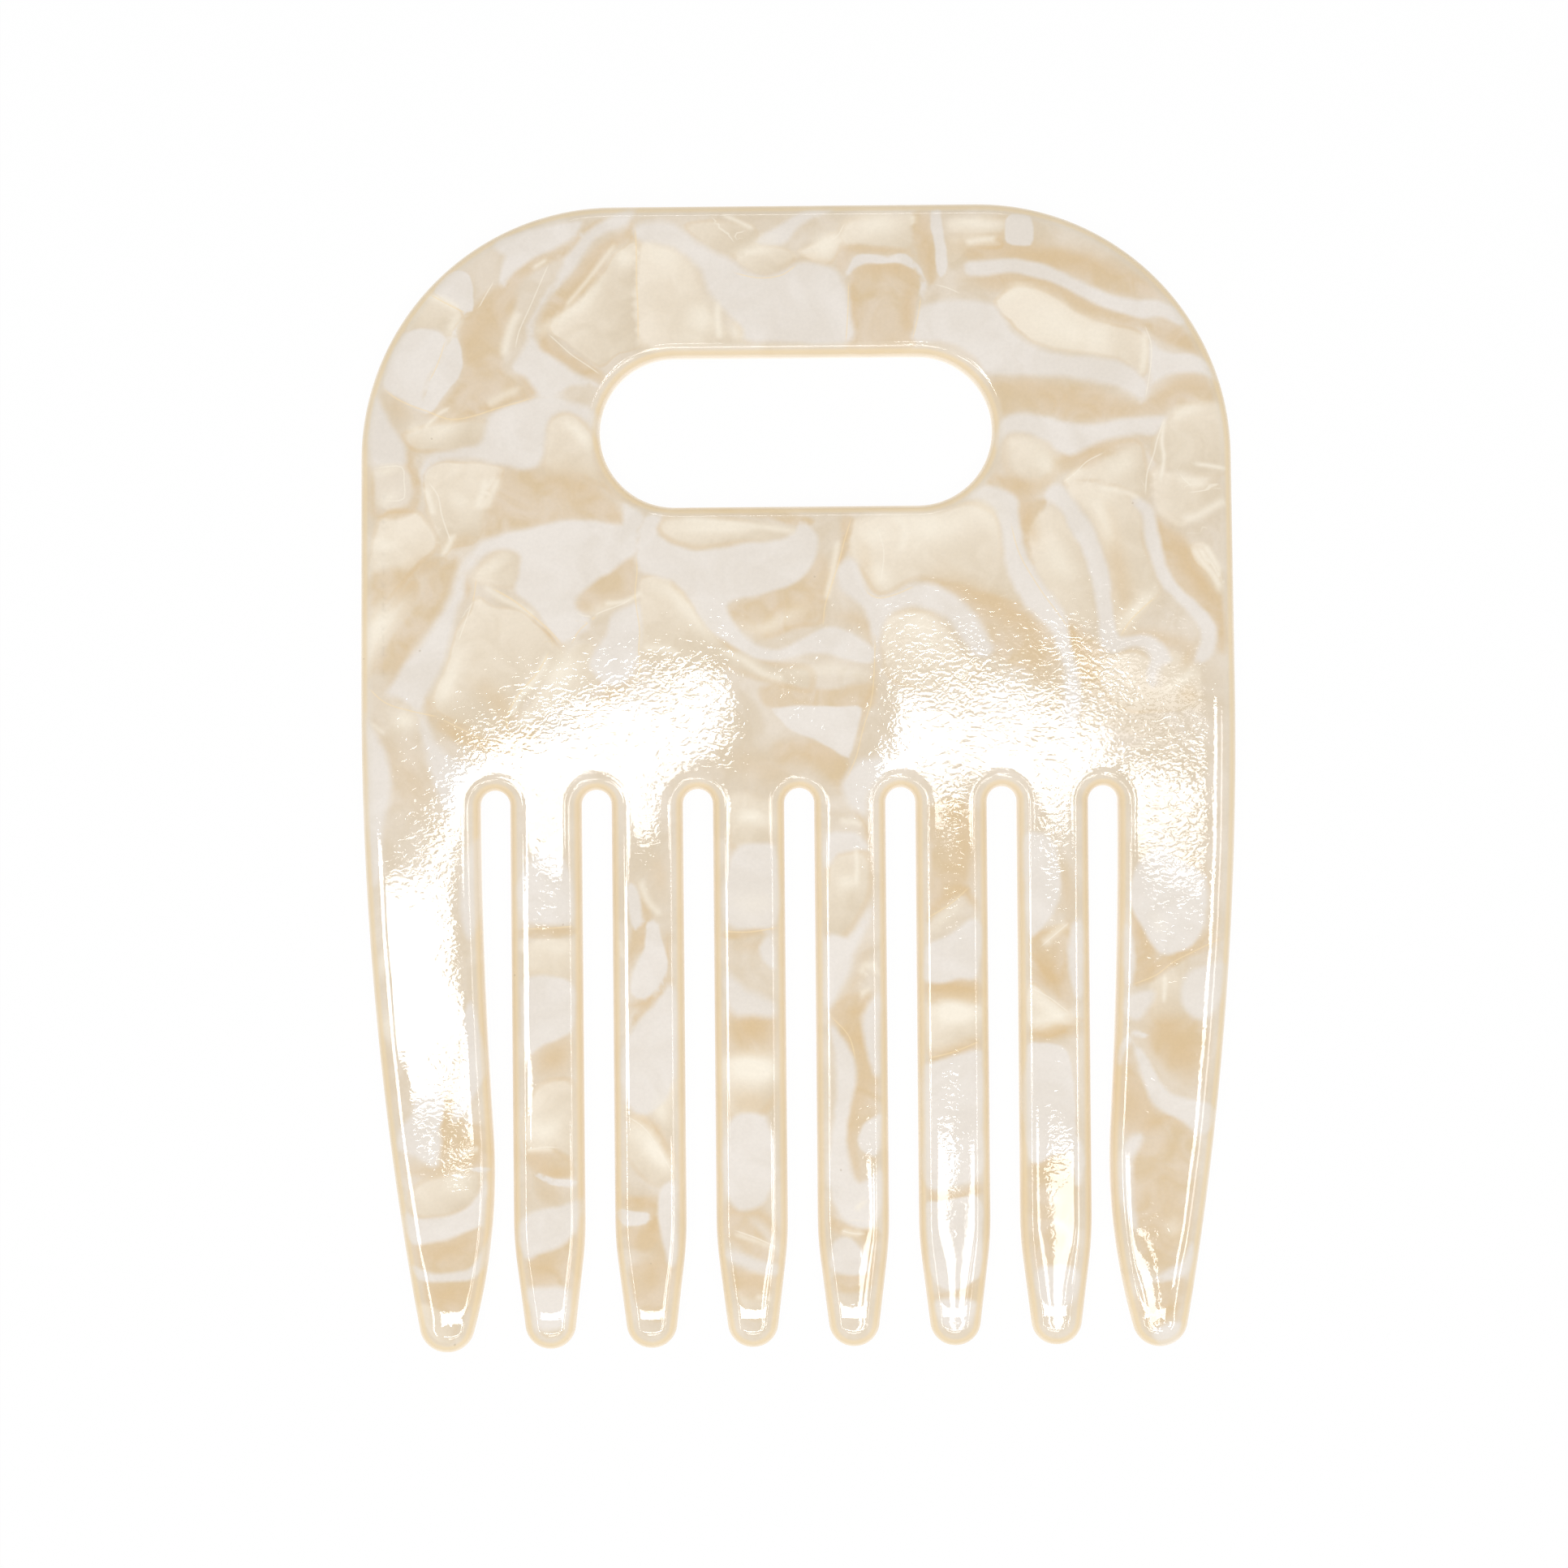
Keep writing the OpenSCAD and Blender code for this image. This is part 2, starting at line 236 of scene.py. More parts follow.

# The marbling, noted as outlines and lines: x and y of each point in tenths of a millimetre,
# in the comb's own frame

# White flakes and ribbons: softness of the rim in millimetres, then the outline
WHITE_FLAKES = (
    (0.3, (-269, 514, -248, 521, -221, 526, -200, 527, -208, 514, -226, 503, -246, 493, -259, 484, -268, 473,
     -273, 465, -277, 470, -274, 481, -272, 494, -281, 501, -280, 509)),
    (0.12, (-341, 461, -331, 472, -320, 480, -310, 478, -306, 468, -304, 444, -311, 443, -325, 451, -336,
     457)),
    (0.3, (-368, 422, -356, 428, -339, 427, -330, 419, -331, 405, -339, 389, -348, 375, -352, 362, -349, 349,
     -364, 356, -379, 365, -390, 374, -387, 389, -378, 408)),
    (0.14, (-312, 441, -319, 424, -316, 411, -314, 394, -319, 378, -332, 362, -348, 349, -351, 360, -342,
     378, -331, 400, -326, 416, -319, 430)),
    (0.35, (-148, 538, -158, 526, -177, 516, -194, 502, -207, 483, -221, 467, -235, 451, -245, 435, -248,
     421, -242, 407, -227, 396, -211, 385, -195, 377, -186, 371, -195, 373, -211, 373, -222, 366, -240, 363,
     -252, 377, -266, 388, -259, 403, -254, 418, -254, 429, -247, 437, -238, 454, -224, 473, -216, 492, -204,
     507, -188, 522, -166, 535)),
    (0.4, (-239, 363, -222, 363, -211, 358, -195, 351, -186, 340, -185, 323, -192, 333, -200, 341, -211, 348,
     -222, 348, -232, 342, -236, 331, -238, 314, -242, 298, -258, 293, -277, 298, -294, 302, -310, 304, -329,
     302, -343, 296, -352, 282, -355, 288, -348, 302, -335, 310, -318, 313, -302, 315, -294, 324, -292, 337,
     -285, 347, -269, 354, -252, 359)),
    (0.45, (-397, 365, -390, 355, -385, 344, -380, 333, -373, 324, -368, 310, -370, 298, -381, 298, -398,
     297, -403, 308, -404, 318, -403, 335, -400, 351)),
    (0.35, (-305, 218, -294, 227, -273, 233, -245, 238, -218, 243, -190, 244, -167, 240, -164, 251, -164,
     261, -155, 257, -145, 251, -150, 237, -152, 214, -162, 206, -177, 195, -196, 183, -210, 173, -210, 162,
     -197, 153, -200, 142, -215, 130, -227, 132, -240, 148, -251, 164, -266, 179, -263, 197, -262, 213, -278,
     219, -295, 214, -304, 205)),
    (0.45, (-303, 219, -313, 208, -321, 189, -326, 173, -337, 154, -350, 135, -362, 119, -375, 105, -386, 91,
     -390, 82, -375, 78, -357, 61, -355, 69, -344, 91, -334, 116, -325, 143, -320, 165, -314, 175, -313, 195,
     -304, 205)),
    (0.3, (-145, 247, -130, 251, -128, 245, -133, 237, -129, 227, -109, 219, -81, 217, -51, 219, -21, 223,
     -1, 233, 4, 241, 13, 235, 20, 224, 19, 208, 10, 194, -3, 184, -22, 178, -49, 172, -63, 167, -66, 160,
     -60, 146, -48, 132, -33, 124, -14, 123, 3, 130, 22, 140, 38, 142, 55, 134, 70, 123, 70, 109, 49, 110,
     27, 115, 5, 116, -17, 113, -36, 113, -55, 121, -74, 132, -89, 146, -101, 165, -114, 182, -128, 191,
     -142, 196, -149, 200, -150, 223)),
    (0.45, (-150, 523, -125, 526, -110, 519, -92, 504, -75, 495, -60, 489, -48, 479, -30, 473, -12, 475, 2,
     484, 16, 486, 29, 484, 40, 477, 47, 459, 51, 440, 49, 411, -41, 412, -49, 425, -66, 441, -79, 459, -87,
     479, -106, 496, -128, 507, -146, 510)),
    (0.35, (-34, 507, -21, 519, -5, 528, 9, 535, 36, 536, 17, 528, 1, 519, -8, 506, -21, 503)),
    (0.16, (49, 474, 53, 485, 60, 493, 73, 492, 87, 490, 98, 493, 106, 491, 115, 483, 121, 472, 124, 461,
     123, 453, 119, 452, 119, 466, 115, 475, 106, 481, 95, 484, 81, 483, 68, 484, 59, 481, 54, 476, 51,
     471)),
    (0.16, (130, 534, 138, 535, 139, 527, 142, 513, 145, 497, 144, 483, 139, 472, 133, 474, 132, 486, 133,
     500, 131, 516)),
    (0.14, (202, 528, 213, 529, 223, 525, 225, 503, 213, 502, 200, 506)),
    (0.28, (163, 482, 177, 483, 193, 486, 210, 488, 226, 486, 243, 481, 259, 472, 275, 464, 292, 456, 308,
     451, 327, 449, 343, 447, 357, 442, 369, 430, 362, 426, 351, 431, 338, 434, 324, 432, 308, 436, 291, 443,
     275, 451, 259, 459, 242, 465, 226, 470, 210, 474, 193, 472, 177, 470, 164, 472)),
    (0.42, (109, 411, 116, 426, 119, 440, 130, 446, 147, 450, 163, 450, 179, 449, 190, 443, 196, 433, 201,
     422, 209, 414, 223, 406, 242, 399, 261, 395, 280, 395, 299, 393, 316, 386, 327, 375, 332, 365, 326, 352,
     319, 358, 304, 367, 285, 371, 266, 374, 247, 376, 225, 378, 203, 379, 187, 378, 180, 379, 176, 387, 168,
     395, 154, 405, 138, 410)),
    (0.3, (337, 408, 346, 399, 359, 395, 376, 395, 389, 387, 398, 371, 389, 376, 376, 378, 359, 377, 345,
     373, 335, 371, 336, 388)),
    (0.36, (187, 320, 193, 336, 208, 341, 225, 341, 241, 337, 258, 332, 274, 329, 290, 330, 307, 335, 323,
     337, 347, 338, 340, 321, 326, 322, 309, 319, 293, 315, 279, 311, 266, 306, 257, 302, 247, 307, 239, 315,
     225, 322, 208, 325, 195, 321, 189, 308)),
    (0.38, (160, 264, 175, 274, 191, 272, 205, 267, 211, 258, 210, 245, 212, 225, 216, 209, 224, 193, 235,
     176, 246, 162, 254, 146, 258, 119, 262, 99, 265, 77, 264, 56, 258, 28, 251, 12, 248, 34, 251, 61, 251,
     86, 248, 108, 244, 124, 239, 138, 227, 152, 214, 165, 202, 185, 196, 204, 192, 226, 186, 248, 174,
     260)),
    (0.32, (234, 264, 239, 272, 249, 274, 258, 266, 268, 250, 279, 233, 287, 214, 294, 192, 296, 170, 298,
     148, 302, 131, 310, 129, 327, 132, 341, 125, 352, 109, 341, 103, 337, 82, 329, 93, 334, 112, 324, 120,
     310, 120, 299, 116, 291, 118, 285, 129, 283, 148, 280, 170, 276, 192, 270, 214, 259, 231, 253, 247, 243,
     258)),
    (0.32, (316, 264, 325, 261, 334, 252, 339, 233, 345, 213, 353, 191, 366, 172, 380, 158, 390, 145, 393,
     134, 391, 117, 386, 106, 376, 105, 378, 118, 380, 135, 370, 150, 357, 164, 343, 181, 335, 203, 329, 224,
     326, 244, 318, 257)),
    (0.42, (36, 194, 43, 204, 53, 205, 59, 194, 65, 178, 77, 168, 92, 173, 106, 180, 122, 183, 139, 177, 153,
     166, 164, 152, 174, 138, 185, 120, 174, 114, 163, 122, 147, 141, 136, 154, 122, 159, 106, 161, 93, 155,
     84, 145, 77, 128, 78, 106, 74, 115, 69, 139, 64, 156, 53, 167, 41, 178)),
    (0.4, (-175, 155, -161, 163, -151, 165, -149, 138, -151, 113, -158, 97, -174, 90, -189, 97, -196, 110,
     -189, 125, -180, 138)),
    (0.5, (-357, 62, -351, 58, -347, 44, -337, 30, -324, 19, -309, 11, -316, -3, -321, -22, -334, -24, -342,
     -2, -348, 17, -355, 36, -358, 50)),
    (0.5, (-409, 61, -400, 50, -387, 25, -386, -2, -390, -35, -396, -79, -404, -98, -407, -51, -409, 4)),
    (0.18, (-24, 65, -6, 67, 13, 68, 35, 67, 58, 66, 57, 54, 53, 35, 47, 20, 31, 27, 9, 37, -6, 45, -24,
     62)),
    (0.5, (40, -6, 50, 8, 61, 19, 83, 16, 76, -1, 66, -17, 63, -33, 52, -31, 43, -20)),
    (0.35, (22, -63, 30, -52, 44, -50, 57, -53, 65, -68, 54, -68, 35, -72, 26, -85, 22, -80)),
    (0.45, (69, -124, 66, -137, 56, -154, 45, -175, 42, -192, 29, -215, 23, -211, 25, -186, 30, -164, 46,
     -151, 59, -132)),
    (0.3, (118, -158, 139, -149, 150, -141, 159, -135, 171, -140, 171, -166, 165, -189, 149, -191, 133, -195,
     116, -194, 115, -176)),
    (0.35, (116, -274, 121, -272, 143, -264, 168, -259, 171, -270, 170, -302, 153, -310, 132, -313, 115,
     -302)),
    (0.3, (213, -54, 235, -57, 243, -73, 244, -106, 237, -133, 226, -147, 216, -147, 213, -111, 210, -79)),
    (0.35, (255, -142, 266, -139, 267, -194, 261, -209, 254, -190)),
    (0.3, (312, -107, 331, -70, 363, -83, 383, -99, 384, -135, 374, -154, 360, -167, 346, -171, 335, -164,
     324, -145, 314, -129)),
    (0.3, (305, -139, 313, -153, 315, -181, 310, -201, 305, -189, 303, -161)),
    (0.4, (307, -211, 332, -203, 331, -215, 318, -230, 306, -224)),
    (0.45, (365, -189, 398, -176, 399, -200, 389, -228, 370, -230, 359, -214)),
    (0.18, (299, -260, 303, -249, 313, -241, 327, -244, 326, -248, 311, -249, 304, -263, 301, -276, 299,
     -273)),
    (0.3, (312, -257, 319, -259, 329, -276, 340, -293, 356, -303, 372, -309, 390, -315, 388, -332, 377, -340,
     361, -329, 345, -320, 331, -309, 323, -293, 316, -274)),
    (0.5, (301, -350, 317, -339, 321, -347, 310, -364, 313, -399, 316, -432, 306, -418, 300, -385)),
    (0.45, (-315, -68, -302, -52, -297, -69, -297, -107, -302, -134, -314, -150, -318, -128)),
    (0.3, (-319, -230, -309, -208, -301, -235, -298, -271, -303, -284, -314, -308, -320, -316, -329, -324,
     -325, -303, -321, -276)),
    (0.4, (-251, -69, -229, -67, -215, -94, -214, -133, -229, -136, -254, -134, -265, -124, -267, -102)),
    (0.5, (-262, -193, -241, -189, -214, -198, -215, -228, -230, -239, -255, -253, -259, -216)),
    (0.22, (-161, -100, -152, -103, -148, -125, -153, -139, -160, -135)),
    (0.2, (-145, -135, -134, -133, -130, -152, -126, -177, -134, -194, -145, -206, -157, -201, -155, -176,
     -149, -157)),
    (0.35, (-125, -194, -116, -212, -118, -259, -126, -300, -135, -311, -150, -316, -165, -305, -170, -277,
     -169, -250, -156, -231, -140, -215)),
    (0.35, (-62, -67, -35, -60, -20, -71, -22, -137, -41, -140, -63, -138, -73, -120)),
    (0.4, (-38, -156, -24, -147, -23, -178, -36, -172)),
    (0.55, (-68, -185, -52, -198, -28, -210, -27, -224, -47, -224, -63, -221, -71, -204)),
    (0.35, (-365, -289, -348, -284, -337, -303, -343, -328, -341, -344, -346, -364, -363, -356, -382, -347,
     -379, -330, -368, -314)),
    (0.28, (-300, -376, -297, -386, -302, -407, -302, -418, -317, -427, -336, -432, -355, -436, -369, -436,
     -376, -420, -374, -407, -360, -413, -338, -413, -319, -405, -307, -391, -303, -383)),
    (0.25, (-369, -457, -350, -464, -331, -462, -311, -457, -300, -438, -293, -421, -294, -443, -303, -462,
     -317, -470, -339, -472, -361, -470, -369, -463)),
    (0.1, (-320, -370, -311, -365, -301, -364, -290, -371, -302, -368, -316, -371)),
    (0.3, (-261, -193, -216, -192, -215, -233, -241, -249, -259, -257)),
    (0.12, (-256, -369, -234, -374, -212, -379, -213, -384, -229, -382, -245, -377)),
    (0.35, (-260, -409, -229, -403, -206, -395, -209, -414, -218, -430, -229, -438, -246, -446, -259, -452,
     -268, -430)),
    (0.45, (-262, -480, -226, -480, -221, -496, -230, -517, -252, -520, -258, -501)),
    (0.14, (-174, -406, -158, -409, -145, -413, -151, -422, -165, -422, -173, -415)),
    (0.3, (-131, -382, -119, -382, -117, -423, -120, -453, -128, -459, -135, -431, -137, -409)),
    (0.35, (-70, -322, -37, -317, -28, -339, -26, -377, -38, -402, -62, -407, -73, -377)),
    (0.4, (-68, -446, -38, -456, -24, -462, -27, -471, -52, -462, -71, -452)),
    (0.4, (26, -148, 48, -154, 48, -170, 45, -186, 34, -205, 24, -211, 23, -186)),
    (0.35, (26, -233, 38, -246, 48, -268, 50, -293, 45, -320, 40, -345, 44, -367, 52, -380, 65, -375, 75,
     -373, 74, -403, 66, -424, 46, -424, 33, -406, 26, -378, 26, -345, 31, -317, 34, -290, 30, -263)),
    (0.4, (61, -217, 72, -203, 75, -241, 74, -274, 67, -280, 61, -252)),
    (0.25, (75, -318, 66, -323, 55, -340, 53, -351, 68, -359, 75, -351)),
    (0.25, (28, -441, 43, -435, 57, -449, 60, -466, 43, -468, 27, -460)),
    (0.3, (116, -280, 132, -275, 148, -270, 168, -261, 171, -286, 171, -324, 173, -367, 147, -385, 117, -384,
     114, -335)),
    (0.22, (115, -403, 131, -400, 167, -400, 169, -444, 164, -472, 142, -485, 125, -472, 116, -439)),
    (0.35, (123, -496, 144, -493, 163, -499, 157, -518, 141, -523, 127, -515)),
    (0.22, (211, -259, 225, -253, 241, -255, 254, -265, 257, -303, 258, -350, 238, -358, 215, -363, 210,
     -325)),
    (0.3, (257, -341, 267, -350, 268, -369, 256, -386)),
    (0.35, (220, -465, 240, -462, 259, -468, 254, -497, 239, -509, 223, -495)),
    (0.35, (367, -441, 371, -452, 363, -469, 346, -477, 329, -477, 341, -468, 358, -458)),
    (0.3, (329, -525, 358, -518, 355, -534, 337, -538)),
)

# Clear honey places: the same
HONEY_FLAKES = (
    (0.5, (-309, 441, -290, 462, -270, 467, -260, 461, -265, 443, -273, 424, -276, 405, -273, 388, -260, 375,
     -243, 363, -277, 351, -304, 344, -332, 340, -348, 347, -329, 361, -316, 378, -313, 400, -315, 422, -311,
     441)),
    (0.4, (-276, 466, -259, 484, -237, 495, -215, 505, -196, 521, -180, 530, -196, 513, -216, 494, -232, 486,
     -248, 478, -262, 464, -271, 458)),
    (0.4, (-149, 535, -157, 521, -174, 510, -193, 496, -210, 477, -223, 461, -237, 442, -243, 429, -235, 432,
     -215, 447, -193, 464, -177, 480, -171, 499, -157, 510, -151, 512, -148, 526)),
    (0.35, (-243, 410, -222, 396, -200, 382, -183, 374, -180, 382, -194, 391, -216, 403, -232, 418)),
    (0.35, (-407, 294, -400, 295, -397, 280, -395, 258, -371, 260, -364, 269, -366, 290, -373, 297, -359,
     293, -355, 284, -358, 263, -371, 250, -398, 250, -408, 253)),
    (0.7, (-277, 293, -239, 291, -206, 285, -187, 272, -174, 256, -167, 243, -201, 245, -237, 239, -272, 235,
     -297, 228, -293, 257, -283, 279)),
    (0.45, (-305, 227, -324, 219, -341, 200, -365, 195, -391, 171, -407, 149, -408, 190, -388, 201, -363,
     198, -347, 209, -333, 211, -319, 221)),
    (0.5, (-319, 210, -343, 198, -360, 170, -377, 146, -390, 125, -399, 105, -378, 105, -363, 125, -338, 159,
     -325, 187)),
    (0.4, (-204, 177, -177, 196, -155, 209, -154, 177, -174, 165, -197, 158, -208, 158)),
    (0.45, (-60, 165, -27, 175, -5, 183, 14, 194, 23, 211, 33, 194, 28, 167, 13, 145, -19, 134, -36, 131,
     -52, 140, -63, 154)),
    (0.3, (-119, 196, -100, 176, -84, 154, -65, 132, -52, 122, -63, 121, -80, 140, -99, 159, -117, 181)),
    (0.25, (-114, 255, -32, 254, 14, 244, 4, 236, -32, 246, -86, 252)),
    (0.3, (-186, 322, -182, 300, -167, 275, -145, 261, -155, 257, -177, 270, -187, 289, -191, 311)),
    (0.25, (52, 467, 57, 479, 68, 483, 84, 482, 98, 483, 109, 480, 118, 470, 118, 453, 114, 426, 107, 403,
     49, 402, 52, 440)),
    (0.5, (166, 497, 194, 499, 224, 500, 248, 497, 270, 489, 292, 479, 319, 473, 341, 465, 357, 448, 327,
     451, 294, 457, 264, 472, 237, 484, 210, 491, 177, 484, 163, 486)),
    (0.5, (174, 466, 199, 470, 232, 468, 253, 458, 275, 449, 300, 437, 324, 431, 362, 424, 384, 407, 393,
     390, 373, 398, 349, 407, 329, 421, 299, 424, 272, 435, 245, 452, 218, 463, 190, 457)),
    (0.6, (187, 372, 231, 372, 285, 366, 318, 352, 340, 360, 395, 368, 401, 354, 367, 347, 334, 340, 299,
     336, 271, 332, 244, 339, 217, 344, 192, 341, 185, 357)),
    (0.45, (246, 298, 274, 306, 301, 312, 323, 317, 337, 315, 307, 306, 274, 293, 252, 285, 238, 274, 213,
     258, 197, 274, 181, 278, 192, 285, 224, 277, 241, 288)),
    (0.3, (211, 256, 230, 264, 235, 258, 222, 239, 219, 220, 224, 198, 216, 211, 212, 234)),
    (0.45, (336, 244, 350, 230, 366, 221, 377, 194, 393, 177, 402, 164, 403, 118, 393, 118, 393, 142, 376,
     163, 357, 183, 345, 210)),
    (0.5, (114, 188, 147, 185, 174, 174, 199, 165, 218, 154, 237, 132, 245, 110, 215, 100, 190, 111, 174,
     143, 158, 163, 139, 177)),
    (0.4, (256, 143, 270, 137, 283, 126, 289, 119, 289, 107, 283, 90, 272, 91, 262, 110, 258, 119)),
    (0.3, (44, 246, 55, 246, 49, 221, 41, 205, 35, 186, 28, 162, 24, 145, 20, 148, 26, 172, 34, 200, 41,
     222)),
    (0.4, (43, 503, 79, 499, 106, 496, 109, 491, 90, 491, 65, 493, 54, 492, 48, 478, 40, 483)),
    (0.35, (115, 533, 130, 532, 133, 500, 132, 472, 124, 464, 120, 480, 114, 492, 112, 516)),
    (0.45, (-296, 38, -277, 46, -263, 43, -252, 48, -241, 57, -252, 34, -269, 21, -285, 24, -302, 29, -323,
     36, -340, 49, -334, 55, -318, 46)),
    (0.35, (-33, 87, 13, 85, 35, 85, 70, 87, 69, 64, 13, 68, -23, 65, -36, 71)),
    (0.6, (-23, 32, 12, 35, 45, 19, 47, -6, 36, -13, 10, 14, -17, 16)),
    (0.25, (-265, -140, -214, -139, -215, -147, -265, -146)),
    (0.3, (-160, -139, -145, -133, -145, -155, -155, -166, -161, -190, -163, -163)),
    (0.28, (-160, -226, -145, -209, -123, -193, -128, -207, -143, -218, -156, -232)),
    (0.25, (-73, -142, -49, -141, -21, -139, -22, -145, -49, -147, -71, -149)),
    (0.8, (-69, -226, -25, -225, -23, -257, -42, -265, -69, -259)),
    (0.4, (126, -26, 159, -29, 159, -97, 142, -111, 124, -127, 123, -56)),
    (0.22, (121, -128, 139, -116, 159, -102, 161, -109, 142, -120, 122, -136)),
    (0.45, (120, -195, 168, -193, 169, -212, 122, -214)),
    (0.28, (119, -268, 143, -258, 168, -250, 168, -259, 143, -265, 120, -273)),
    (0.3, (217, -158, 226, -150, 242, -147, 253, -136, 251, -153, 232, -161, 220, -163)),
    (0.6, (218, -163, 234, -161, 253, -153, 253, -221, 234, -202, 216, -193)),
    (0.28, (216, -238, 233, -235, 253, -229, 270, -229, 253, -237, 233, -244, 216, -249)),
    (0.22, (312, -196, 335, -183, 352, -173, 373, -163, 400, -150, 398, -157, 373, -170, 354, -181, 335,
     -193, 314, -201)),
    (0.4, (312, -129, 324, -148, 335, -166, 335, -183, 314, -194, 314, -156)),
    (0.8, (335, -233, 362, -230, 384, -239, 373, -271, 345, -277, 326, -254)),
    (0.5, (299, -282, 312, -276, 326, -304, 345, -326, 372, -342, 366, -359, 323, -339, 297, -336)),
    (0.35, (-337, -303, -325, -290, -321, -320, -299, -331, -294, -364, -322, -364, -343, -365, -341, -344,
     -342, -328)),
    (0.35, (-369, -436, -336, -433, -303, -422, -300, -438, -311, -457, -331, -462, -350, -463, -368, -456)),
    (0.4, (-355, -474, -312, -470, -301, -465, -309, -495, -331, -506, -353, -492)),
    (0.3, (-256, -348, -231, -349, -218, -359, -216, -375, -251, -368, -259, -359)),
    (0.4, (-260, -453, -229, -438, -210, -430, -211, -477, -235, -479, -260, -479)),
    (0.4, (-173, -392, -147, -398, -131, -404, -136, -431, -147, -444, -158, -442, -173, -425, -151, -422,
     -145, -413, -173, -405)),
    (0.4, (-164, -458, -120, -458, -126, -496, -137, -513, -159, -496)),
    (0.4, (-75, -409, -60, -408, -27, -448, -24, -460, -57, -445, -76, -431)),
    (0.5, (-68, -461, -30, -473, -33, -492, -60, -486)),
    (0.4, (29, -219, 62, -200, 61, -252, 72, -282, 74, -315, 58, -331, 50, -350, 52, -378, 44, -361, 42,
     -345, 47, -320, 51, -293, 49, -266, 38, -244)),
    (0.4, (27, -432, 27, -416, 46, -426, 72, -427, 68, -441, 43, -434)),
    (0.4, (29, -468, 59, -467, 65, -457, 62, -482, 32, -484)),
    (0.28, (117, -387, 147, -389, 169, -383, 169, -394, 142, -397, 117, -399)),
    (0.35, (120, -485, 141, -487, 166, -474, 165, -496, 141, -492, 122, -496)),
    (0.4, (210, -368, 251, -363, 257, -391, 253, -462, 218, -461, 210, -417)),
    (0.9, (312, -353, 361, -337, 372, -381, 366, -441, 343, -468, 319, -457, 308, -402)),
    (0.5, (313, -495, 332, -479, 360, -476, 365, -498, 332, -522, 316, -514)),
)
